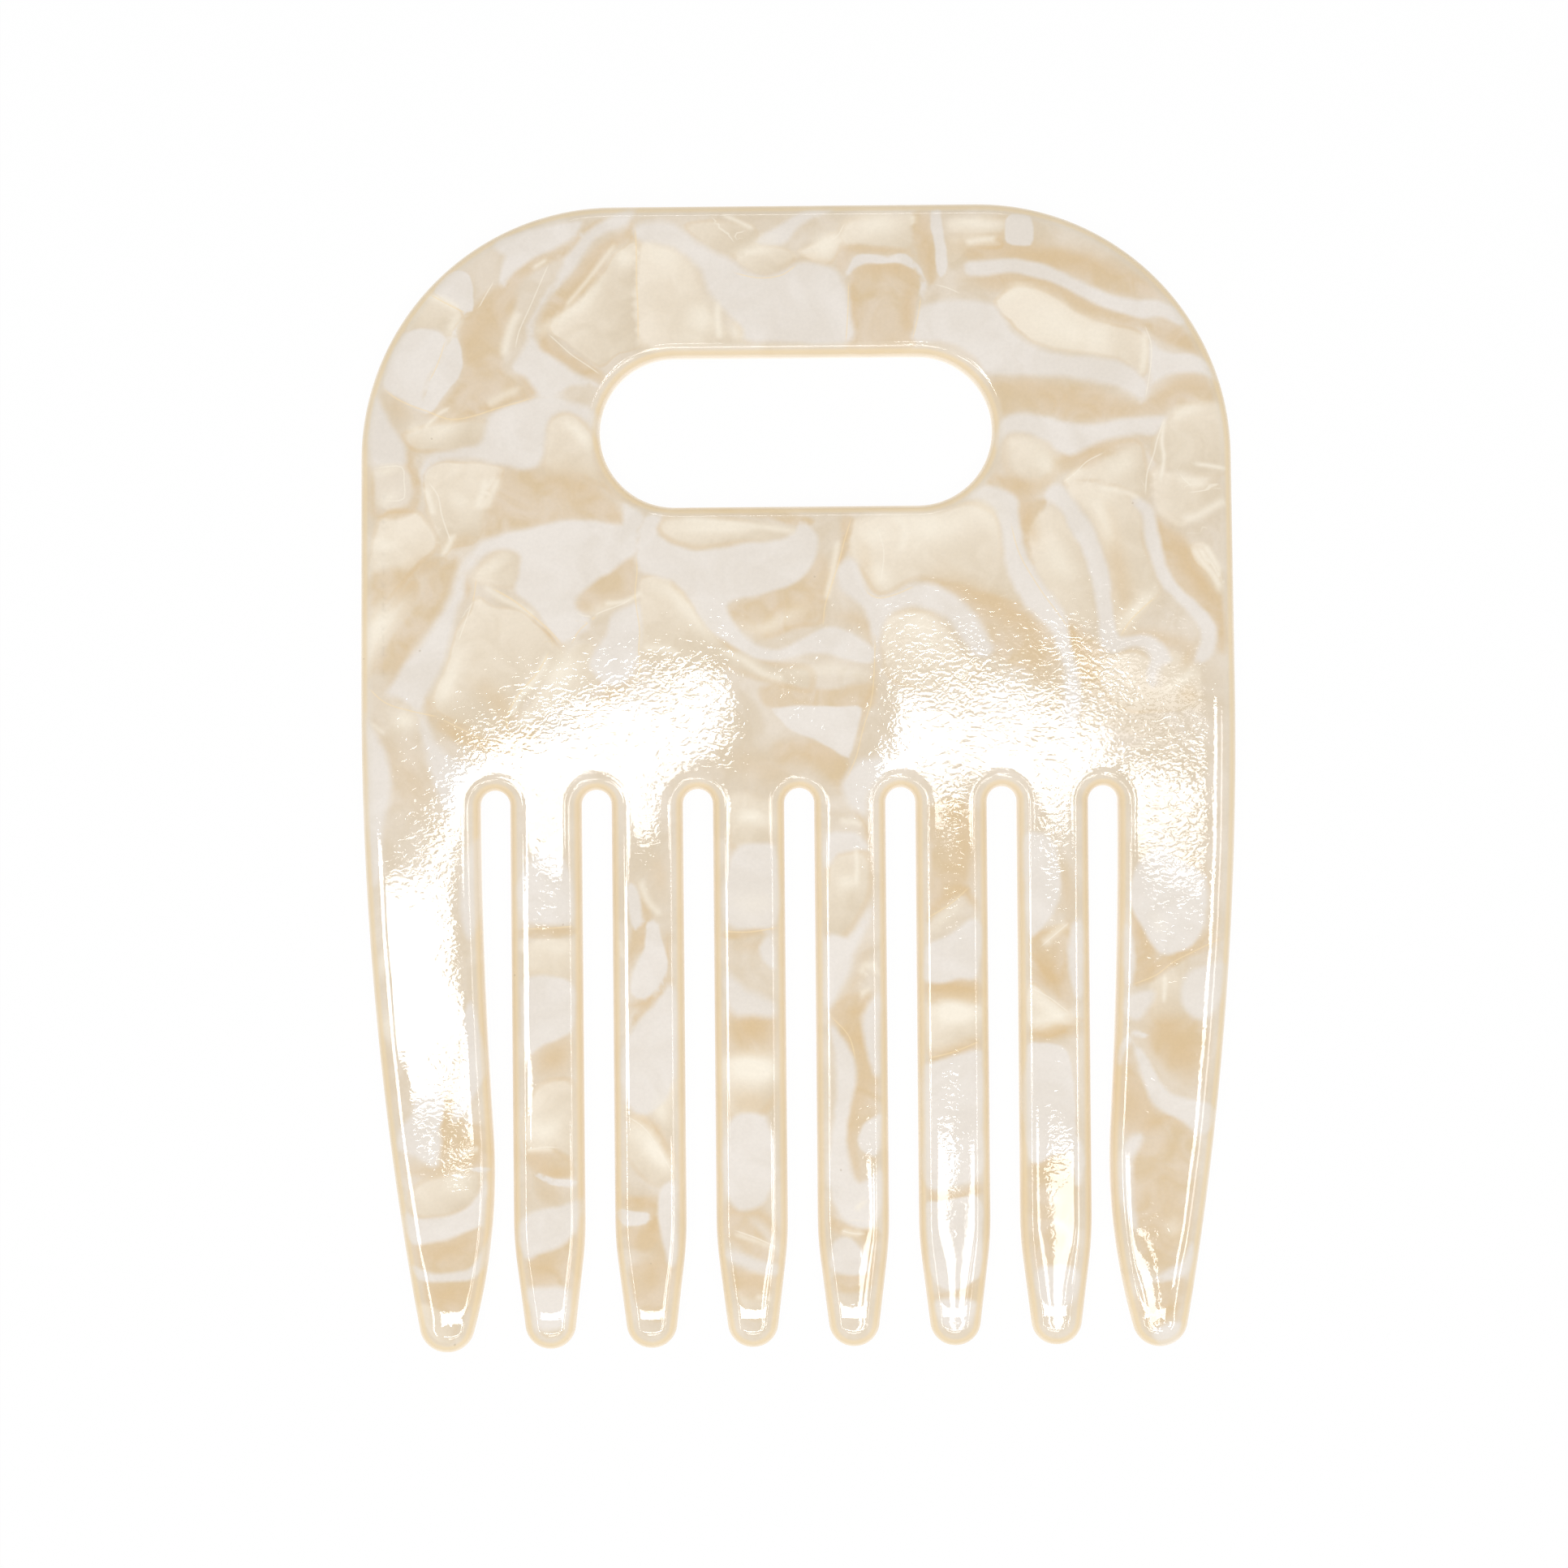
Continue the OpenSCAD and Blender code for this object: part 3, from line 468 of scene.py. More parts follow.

# Satin flakes: softness of the rim, brightness of their painted sheen, then the outline
SATIN_FLAKES = (
    (0.2, 0.45, (-231, 428, -205, 453, -177, 480, -170, 495, -158, 506, -150, 514, -150, 469, -149, 413,
     -166, 402, -181, 388, -200, 399, -216, 412)),
    (0.6, 0.6, (-146, 508, -122, 505, -103, 493, -90, 476, -85, 454, -74, 435, -58, 421, -45, 411, -147,
     412)),
    (0.35, 0.3, (-105, 521, -84, 526, -59, 525, -38, 522, -34, 509, -57, 494, -73, 496, -90, 506)),
    (0.3, 0.55, (-57, 489, -46, 498, -24, 502, -5, 497, 1, 487, -12, 476, -30, 474, -48, 480)),
    (0.18, 0.45, (-368, 425, -357, 445, -344, 459, -328, 452, -312, 441, -319, 430, -328, 419, -339, 427,
     -354, 429)),
    (0.45, 0.4, (-370, 326, -351, 336, -332, 340, -293, 338, -294, 320, -318, 313, -335, 310, -359, 313)),
    (0.45, 0.45, (-235, 333, -228, 343, -211, 347, -198, 337, -188, 322, -184, 306, -174, 289, -167, 278,
     -168, 270, -185, 278, -206, 288, -236, 295, -237, 314)),
    (0.22, 0.5, (-351, 284, -338, 299, -305, 300, -277, 294, -282, 276, -293, 257, -301, 227, -323, 221,
     -333, 213, -340, 236, -349, 258)),
    (0.4, 0.65, (-391, 249, -363, 257, -348, 244, -339, 221, -366, 195, -393, 165, -407, 152, -407, 198)),
    (0.7, 0.6, (-407, 144, -382, 165, -363, 187, -361, 176, -380, 149, -396, 125, -408, 100)),
    (0.6, 0.4, (-128, 245, -86, 247, -32, 241, -5, 233, -21, 223, -51, 220, -81, 219, -109, 222, -128, 230)),
    (0.25, 0.45, (-147, 190, -125, 192, -106, 176, -87, 151, -63, 121, -49, 108, -148, 114, -149, 169)),
    (0.25, 0.45, (-303, 173, -287, 164, -262, 159, -246, 145, -224, 125, -219, 115, -235, 98, -252, 79, -267,
     60, -280, 47, -307, 50, -340, 66, -342, 86, -331, 112, -320, 143, -310, 159)),
    (0.45, 0.5, (-306, 189, -297, 205, -278, 218, -262, 212, -263, 194, -270, 181, -292, 184)),
    (0.25, 0.6, (-241, 85, -224, 110, -200, 130, -189, 111, -189, 89, -225, 70, -252, 48, -267, 52, -252,
     70)),
    (0.6, 0.35, (-149, 121, -115, 121, -74, 109, -33, 93, 10, 83, 11, 104, -22, 109, -49, 121, -74, 132, -93,
     148, -142, 138)),
    (0.3, 0.75, (2, 495, 21, 506, 42, 515, 45, 506, 38, 491, 29, 485, 16, 488)),
    (0.6, 0.55, (47, 524, 79, 530, 112, 532, 114, 516, 107, 497, 68, 500, 46, 503)),
    (0.6, 0.5, (147, 525, 177, 528, 201, 528, 200, 515, 177, 511, 150, 513)),
    (0.4, 0.35, (150, 508, 191, 509, 194, 499, 166, 497, 163, 483, 147, 478, 146, 494)),
    (0.35, 0.8, (188, 447, 204, 460, 226, 460, 248, 449, 275, 435, 299, 424, 324, 418, 335, 404, 333, 383,
     324, 377, 310, 390, 280, 398, 247, 402, 220, 413, 201, 430)),
    (0.7, 0.6, (197, 316, 211, 321, 236, 312, 244, 294, 241, 279, 224, 279, 203, 286)),
    (0.4, 0.5, (270, 295, 285, 306, 323, 315, 330, 290, 329, 264, 306, 273, 282, 279, 254, 276)),
    (0.4, 0.4, (348, 335, 367, 348, 395, 354, 405, 328, 406, 284, 367, 287, 342, 293, 339, 315)),
    (0.3, 0.45, (336, 285, 361, 283, 399, 273, 406, 257, 377, 243, 361, 232, 339, 249)),
    (0.2, 0.6, (370, 214, 382, 218, 393, 202, 401, 183, 402, 169, 388, 188, 374, 202)),
    (0.5, 0.55, (57, 245, 120, 248, 159, 259, 184, 245, 192, 223, 197, 196, 215, 165, 191, 168, 161, 176,
     136, 185, 111, 188, 79, 172, 63, 193, 49, 210)),
    (0.4, 0.55, (216, 239, 238, 255, 253, 244, 270, 211, 279, 178, 282, 146, 261, 143, 241, 169, 222, 200)),
    (0.4, 0.5, (253, 271, 274, 279, 306, 271, 325, 246, 328, 218, 342, 178, 338, 169, 306, 132, 298, 153,
     291, 205, 275, 244)),
    (0.5, 0.55, (81, 145, 97, 155, 125, 155, 144, 135, 157, 114, 174, 100, 135, 84, 91, 90, 77, 123)),
    (0.5, 0.4, (-9, 170, 16, 183, 24, 172, 21, 148, -1, 143, -23, 135, -34, 140)),
    (0.3, 0.45, (286, 107, 310, 117, 335, 109, 337, 82, 376, 98, 381, 79, 370, 62, 332, 57, 304, 63, 285,
     85)),
    (0.3, 0.35, (349, 117, 376, 103, 376, 79, 346, 82)),
    (0.5, 0.55, (-254, -151, -216, -151, -215, -184, -233, -189, -254, -186)),
    (0.6, 0.4, (-64, -16, -23, -27, -21, -60, -62, -65, -67, -40)),
    (0.6, 0.4, (30, -74, 63, -72, 65, -110, 46, -143, 26, -153, 24, -104)),
    (0.4, 0.55, (122, -214, 168, -213, 168, -248, 143, -257, 120, -265)),
    (0.25, 0.55, (215, -197, 234, -209, 254, -226, 233, -233, 216, -237)),
    (0.6, 0.4, (218, -155, 251, -142, 253, -172, 242, -194, 220, -172)),
    (0.4, 0.4, (332, -183, 362, -173, 362, -208, 367, -233, 335, -233, 329, -208)),
    (0.45, 0.4, (-365, -380, -338, -370, -308, -369, -304, -388, -319, -404, -338, -412, -360, -412, -372,
     -401)),
    (0.45, 0.55, (-258, -298, -217, -282, -215, -332, -216, -359, -234, -348, -259, -348)),
    (0.45, 0.5, (-160, -316, -146, -321, -123, -371, -130, -382, -147, -376, -166, -354, -165, -332)),
    (0.5, 0.5, (-132, -289, -121, -283, -119, -311, -120, -343, -135, -321)),
    (0.7, 0.5, (-69, -262, -25, -265, -24, -295, -37, -317, -68, -319, -72, -292)),
    (0.4, 0.5, (-55, -464, -27, -470, -30, -503, -52, -511, -63, -483)),
    (0.35, 0.5, (122, -214, 168, -212, 168, -250, 143, -260, 120, -265)),
    (0.5, 0.4, (59, -427, 72, -430, 70, -452, 59, -446)),
    (0.8, 0.35, (313, -364, 355, -353, 360, -408, 341, -449, 322, -435)),
    (0.3, 0.5, (-358, -494, -331, -508, -331, -530, -350, -527, -364, -505)),
    (0.3, 0.5, (-252, -504, -230, -509, -230, -523, -246, -525)),
)

# Painted soft glints along the satin's folds: half-width, strength, then the line
GLOWS = (
    (0.9, 0.9, (-169, 490, -162, 493, -157, 499)),
    (1.3, 0.6, (-139, 497, -123, 496, -106, 487)),
    (1.5, 0.8, (-96, 420, -88, 436, -81, 444)),
    (0.6, 0.7, (-58, 430, -51, 414)),
    (0.5, 0.8, (-241, 424, -222, 434, -199, 453, -180, 472)),
    (0.5, 0.7, (-316, 443, -321, 430, -328, 416)),
    (0.5, 0.7, (-363, 330, -354, 337)),
    (0.9, 0.6, (-351, 326, -332, 334, -319, 337)),
    (0.6, 0.9, (-218, 336, -209, 333, -198, 322, -194, 311)),
    (0.8, 0.5, (-324, 269, -311, 257)),
    (0.9, 0.8, (-387, 272, -383, 265)),
    (0.5, 0.7, (-398, 291, -387, 294, -376, 295)),
    (1.4, 0.8, (-389, 228, -390, 214)),
    (1.4, 0.9, (-405, 127, -394, 149, -380, 165)),
    (0.6, 0.8, (-119, 237, -87, 236, -59, 234, -37, 232)),
    (0.7, 0.8, (-131, 183, -117, 176, -104, 160, -93, 146, -77, 130)),
    (0.5, 0.6, (-295, 197, -286, 203, -278, 208)),
    (0.6, 0.5, (-199, 158, -183, 162, -172, 167)),
    (0.6, 0.6, (-52, 143, -36, 139, -19, 146, 6, 162)),
    (0.5, 0.7, (-60, 494, -41, 498, -19, 498)),
    (0.5, 0.7, (-38, 505, -24, 509, -16, 508)),
    (1, 0.9, (21, 496, 28, 502, 41, 509)),
    (1.2, 0.7, (60, 521, 76, 523, 95, 522)),
    (0.5, 0.8, (150, 523, 172, 524, 196, 522)),
    (1.8, 0.7, (226, 439, 248, 425, 275, 411)),
    (0.6, 0.7, (193, 447, 212, 458, 231, 454)),
    (1.3, 0.7, (227, 305, 235, 291, 233, 283)),
    (0.9, 0.6, (290, 285, 306, 293, 315, 301)),
    (0.6, 0.9, (353, 340, 367, 344, 385, 350)),
    (0.5, 0.8, (361, 283, 377, 277, 391, 280)),
    (1, 0.7, (65, 221, 76, 229, 84, 224)),
    (0.9, 0.8, (73, 202, 79, 188, 85, 183)),
    (1.5, 0.6, (106, 226, 136, 232, 158, 242)),
    (1.2, 0.6, (238, 223, 246, 203, 259, 187)),
    (0.7, 0.7, (277, 260, 290, 238, 295, 219)),
    (0.6, 0.9, (335, 172, 319, 156, 306, 137)),
    (1.2, 0.6, (100, 144, 119, 139, 130, 122)),
    (0.8, 0.9, (-320, 123, -326, 104, -334, 85, -340, 73)),
    (1.3, 0.9, (-238, 90, -224, 103, -211, 117)),
    (1, 0.9, (-381, 62, -373, 57, -364, 55)),
    (0.5, 0.5, (-6, 101, 32, 102, 65, 95)),
    (0.6, 0.7, (-397, -182, -394, -169, -389, -158)),
    (0.9, 0.6, (-393, -223, -386, -240)),
    (1, 0.7, (-62, -117, -43, -120, -24, -115)),
    (1.2, 0.7, (-67, -276, -47, -273, -23, -271)),
    (0.6, 0.6, (-62, -38, -45, -35, -23, -41)),
    (0.6, 0.5, (-249, -154, -227, -157, -216, -155)),
    (0.8, 0.8, (34, -100, 43, -100, 53, -98)),
    (1.1, 0.8, (127, -223, 143, -224, 165, -224)),
    (0.7, 0.8, (217, -204, 234, -218, 253, -227)),
    (0.5, 0.8, (333, -134, 338, -140, 342, -148)),
    (0.5, 0.8, (348, 82, 365, 92, 376, 99)),
    (0.5, 0.5, (122, -143, 133, -135, 150, -119)),
    (0.9, 0.6, (-338, -380, -324, -377, -315, -384)),
    (0.9, 0.8, (-256, -320, -245, -331, -228, -321)),
    (0.8, 0.8, (-157, -327, -146, -349, -130, -363)),
    (0.5, 0.7, (-146, -332, -136, -354, -123, -371)),
    (0.7, 0.8, (-130, -297, -132, -311, -127, -322)),
    (1.4, 0.8, (-67, -273, -47, -274, -26, -279)),
    (1.1, 0.7, (127, -223, 143, -221, 165, -220)),
    (0.8, 0.8, (216, -230, 231, -232, 253, -227)),
    (0.8, 0.4, (347, -419, 352, -435)),
    (1.5, 0.6, (272, 416, 299, 411)),
    (1.5, 0.5, (159, 256, 180, 253, 191, 234)),
    (1.5, 0.5, (98, 246, 136, 237)),
    (1.2, 0.4, (279, 263, 298, 258)),
    (2, 0.2, (353, 314, 378, 292)),
    (0.5, 0.5, (-56, -35, -34, -38)),
)

# Amber along folds, partly the sheet's own and partly painted shade: half-width, strength, then the line
SHADES = (
    (0.5, 0.6, (-152, 517, -180, 497, -199, 470, -221, 443, -237, 424, -234, 404, -206, 388, -186, 377)),
    (1.5, 0.5, (-281, 454, -295, 432, -304, 411, -301, 383)),
    (0.3, 0.6, (-351, 349, -323, 341, -291, 350, -249, 363)),
    (1.5, 0.45, (-239, 290, -206, 278, -179, 265)),
    (0.6, 0.5, (-174, 259, -167, 245)),
    (1, 0.35, (-386, 362, -364, 345)),
    (0.5, 0.6, (-262, 388, -244, 366)),
    (0.5, 0.7, (-114, 189, -93, 160, -77, 141, -60, 122)),
    (0.5, 0.7, (-312, 188, -313, 174)),
    (0.35, 0.6, (-241, 142, -219, 125)),
    (0.6, 0.5, (-333, 221, -305, 230)),
    (1.2, 0.5, (-388, 171, -366, 190, -344, 206)),
    (0.5, 0.6, (-358, 318, -365, 299, -359, 288)),
    (0.3, 0.6, (-401, 250, -365, 258)),
    (0.4, 0.5, (-55, 433, -45, 414)),
    (0.3, 0.5, (-57, 496, -60, 485, -45, 475)),
    (1.2, 0.8, (150, 499, 199, 498, 245, 489, 286, 479, 327, 468)),
    (0.9, 0.6, (160, 467, 193, 469, 245, 460, 286, 438, 321, 424)),
    (0.7, 0.7, (62, 478, 87, 479, 114, 475)),
    (0.5, 0.7, (55, 467, 54, 440, 51, 413)),
    (0.6, 0.7, (111, 467, 107, 440, 103, 415)),
    (0.6, 0.6, (123, 524, 124, 502, 126, 480)),
    (1.2, 0.55, (203, 373, 244, 359, 285, 348, 321, 338)),
    (0.8, 0.7, (337, 358, 367, 369, 395, 371)),
    (0.7, 0.5, (188, 286, 202, 275, 230, 275)),
    (0.6, 0.6, (246, 299, 271, 306, 298, 315)),
    (0.7, 0.7, (216, 261, 219, 239, 224, 220)),
    (1, 0.9, (341, 233, 366, 205, 385, 177, 401, 155)),
    (0.6, 0.7, (401, 150, 403, 120)),
    (1, 0.55, (290, 252, 300, 206, 308, 170, 312, 148)),
    (1.2, 0.8, (136, 188, 174, 168, 201, 154, 229, 138)),
    (0.4, 0.7, (47, 252, 45, 227, 35, 194, 25, 167)),
    (0.6, 0.4, (63, 221, 68, 194, 76, 175)),
    (0.6, 0.5, (-17, 156, 7, 164, 18, 178)),
    (0.7, 0.5, (40, 153, 62, 145, 73, 123)),
    (1, 0.5, (349, 416, 379, 404)),
    (0.6, 0.5, (338, 438, 354, 432)),
    (0.4, 0.4, (-9, 479, 13, 488, 38, 485)),
    (0.6, 0.7, (259, 140, 261, 121)),
    (2, 0.4, (-395, 36, -373, 11, -362, -13, -351, -30)),
    (0.9, 0.7, (-345, 60, -315, 46, -285, 33, -263, 43)),
    (0.7, 0.5, (-361, 129, -375, 104, -386, 88)),
    (0.4, 0.5, (-350, 85, -345, 60)),
    (1, 0.5, (-301, 90, -279, 68, -277, 49)),
    (0.8, 0.6, (-203, 56, -175, 83, -153, 102)),
    (1.5, 0.4, (-64, 20, -28, 8, -7, 11)),
    (0.3, 0.7, (-265, -139, -243, -137, -217, -143)),
    (0.4, 0.3, (-254, -184, -216, -198)),
    (1.5, 0.5, (-241, -271, -228, -255, -217, -244)),
    (0.5, 0.7, (-158, -100, -144, -125, -147, -146, -158, -157)),
    (0.4, 0.7, (-123, -147, -126, -166, -129, -188)),
    (0.4, 0.8, (-162, -215, -142, -207, -123, -190)),
    (0.8, 0.4, (-136, -75, -131, -108)),
    (0.3, 0.7, (-75, -144, -49, -143, -24, -139)),
    (0.8, 0.4, (-65, -155, -25, -158)),
    (1.6, 0.5, (-66, -232, -28, -238)),
    (1.2, 0.5, (-2, 19, 22, 19, 44, 10)),
    (0.3, 0.6, (73, 120, 71, 87, 61, 60, 54, 21)),
    (1.5, 0.5, (215, 129, 228, 102, 244, 80)),
    (1, 0.8, (268, 126, 272, 99, 277, 82)),
    (0.8, 0.6, (311, 131, 338, 128, 371, 122)),
    (0.6, 0.5, (371, 120, 365, 101)),
    (0.8, 0.4, (359, 81, 376, 70)),
    (0.3, 0.6, (49, -28, 63, -44, 68, -72)),
    (0.5, 0.4, (31, -216, 45, -206, 65, -159)),
    (1.2, 0.6, (34, -233, 56, -247, 64, -219)),
    (1.8, 0.7, (134, -42, 156, -40, 155, -83, 136, -105)),
    (0.5, 0.8, (122, -132, 150, -108, 169, -125)),
    (0.8, 0.7, (122, -201, 144, -202, 168, -201)),
    (0.5, 0.8, (121, -261, 143, -258, 168, -250)),
    (0.8, 0.5, (248, -79, 251, -128)),
    (0.4, 0.6, (218, -152, 242, -147, 253, -136)),
    (1.2, 0.6, (226, -166, 237, -194)),
    (0.7, 0.8, (220, -243, 253, -240)),
    (0.9, 0.5, (358, -74, 374, -94, 388, -107)),
    (0.5, 0.7, (314, -129, 324, -156, 338, -168)),
    (0.5, 0.8, (316, -192, 343, -178, 376, -159, 398, -140)),
    (0.9, 0.5, (327, -164, 321, -186)),
    (1.8, 0.5, (335, -225, 356, -249, 367, -277)),
    (0.5, 0.7, (-335, -295, -340, -320, -343, -355)),
    (1.2, 0.6, (-330, -342, -310, -342, -302, -323)),
    (0.5, 0.6, (-376, -367, -343, -367, -305, -358)),
    (1, 0.7, (-369, -445, -339, -443, -303, -435)),
    (1.3, 0.8, (-361, -481, -334, -486, -312, -478)),
    (0.5, 0.5, (-394, -243, -389, -281, -385, -308)),
    (1.5, 0.45, (-250, -277, -222, -258)),
    (1, 0.6, (-261, -359, -245, -361, -256, -370)),
    (0.5, 0.7, (-242, -370, -218, -371)),
    (1.2, 0.4, (-256, -391, -223, -389)),
    (1.2, 0.7, (-257, -465, -229, -457)),
    (0.35, 0.6, (-207, -173, -207, -304, -208, -414)),
    (0.6, 0.8, (-165, -316, -146, -325, -133, -343, -121, -365)),
    (0.6, 0.8, (-169, -400, -131, -397)),
    (0.6, 0.8, (-141, -412, -144, -431)),
    (1.6, 0.6, (-161, -431, -136, -444, -148, -483)),
    (1.5, 0.5, (-66, -235, -28, -238)),
    (1.2, 0.5, (-67, -303, -29, -309)),
    (0.6, 0.7, (-73, -405, -38, -414, -20, -435)),
    (1, 0.7, (-66, -472, -27, -476)),
    (0.6, 0.6, (31, -225, 56, -219, 64, -208)),
    (1.2, 0.6, (48, -238, 60, -258, 57, -285, 47, -318, 45, -350, 52, -378)),
    (0.5, 0.6, (60, -359, 72, -359)),
    (0.5, 0.5, (27, -402, 29, -424, 59, -430)),
    (0.8, 0.6, (57, -441, 66, -463, 48, -473)),
    (0.9, 0.8, (116, -203, 144, -202, 171, -201)),
    (0.35, 0.8, (123, -398, 147, -398, 169, -391)),
    (0.35, 0.6, (119, -499, 146, -496)),
    (0.7, 0.8, (214, -246, 239, -241, 266, -238)),
    (1.2, 0.5, (226, -180, 242, -199)),
    (0.8, 0.6, (224, -371, 251, -363)),
    (0.9, 0.7, (302, -254, 299, -287, 305, -325)),
    (1.5, 0.6, (315, -282, 320, -315, 328, -334)),
    (1.8, 0.5, (332, -233, 356, -263, 372, -288)),
    (0.5, 0.7, (325, -334, 347, -324, 366, -340)),
    (2, 0.35, (333, -364, 339, -405, 330, -446)),
    (0.8, 0.6, (319, -503, 359, -514)),
)

# Narrow painted glints: half-width, strength, then the line
STREAKS = (
    (0.35, 0.7, (-112, 245, -75, 242, -32, 237, 2, 232)),
    (0.45, 0.7, (92, 248, 103, 232, 97, 213)),
    (0.25, 0.8, (-183, 166, -162, 168, -146, 177)),
    (0.22, 0.9, (375, 293, 390, 291, 407, 288)),
    (0.2, 0.9, (348, 337, 345, 314, 347, 299, 343, 275)),
    (0.22, 0.8, (-248, 482, -232, 492)),
    (0.25, 0.7, (-168, 506, -193, 474, -217, 446)),
    (0.22, 0.8, (-67, 532, -52, 525, -38, 518)),
    (0.22, 0.8, (-352, 331, -337, 346, -328, 351)),
    (0.35, 0.9, (-72, 449, -73, 436, -71, 414)),
    (0.4, 0.8, (-350, 460, -331, 453, -317, 445)),
    (0.45, 0.8, (-260, 444, -268, 427, -273, 410, -274, 399)),
    (0.45, 0.6, (-291, 354, -274, 364, -260, 368)),
    (0.35, 0.9, (-350, 277, -345, 261, -343, 250)),
    (0.4, 0.9, (-292, 285, -298, 266, -302, 257)),
    (0.4, 0.8, (-280, 285, -287, 271, -293, 257)),
    (0.35, 0.9, (-324, 233, -329, 221, -334, 213)),
    (0.35, 0.7, (-295, 184, -279, 172, -262, 164, -246, 153)),
    (0.35, 0.8, (112, 530, 111, 522)),
    (0.35, 0.8, (161, 503, 177, 506, 191, 507)),
    (0.4, 0.8, (329, 419, 330, 399, 326, 378)),
    (0.35, 0.9, (374, 214, 381, 202, 393, 188, 400, 172)),
    (0.35, 0.9, (385, 216, 393, 202, 400, 190)),
    (0.45, 0.8, (363, 242, 377, 243, 394, 253, 406, 258)),
    (0.3, 0.7, (284, 271, 306, 268, 325, 261)),
    (0.35, 0.8, (39, 224, 34, 197, 27, 167)),
    (0.35, 0.7, (253, 277, 263, 285, 271, 291)),
    (0.35, 0.9, (-235, 120, -246, 98, -263, 79, -271, 60)),
    (0.35, 0.7, (-148, 124, -126, 123, -112, 118)),
    (0.4, 0.7, (-74, 121, -52, 112, -33, 99, -11, 93)),
    (0.25, 0.5, (-403, 55, -389, 44)),
    (0.35, 0.7, (-151, -94, -144, -114, -131, -129)),
    (0.35, 0.7, (-171, -152, -168, -168)),
    (0.35, 0.6, (-262, -151, -261, -165)),
    (0.25, 0.8, (53, -68, 54, -83, 53, -102)),
    (0.35, 0.7, (38, -41, 49, -42, 60, -44)),
    (0.4, 0.7, (229, -159, 242, -147, 253, -139)),
    (0.22, 0.9, (343, -190, 344, -200, 342, -211)),
    (0.35, 0.7, (56, -186, 62, -178, 73, -177)),
    (0.35, 0.7, (56, -206, 63, -199, 64, -196)),
    (0.3, 0.7, (-324, -353, -313, -349, -305, -347)),
    (0.3, 0.8, (-261, -349, -245, -348, -234, -348)),
    (0.3, 0.6, (-65, -429, -43, -437, -27, -443)),
    (0.3, 0.6, (-47, -489, -30, -492)),
    (0.3, 0.7, (50, -408, 58, -400, 60, -398)),
    (0.35, 0.7, (36, -427, 46, -430, 57, -430)),
    (0.35, 0.6, (56, -181, 64, -176, 74, -187)),
    (0.25, 0.8, (343, -195, 343, -203, 342, -214)),
)
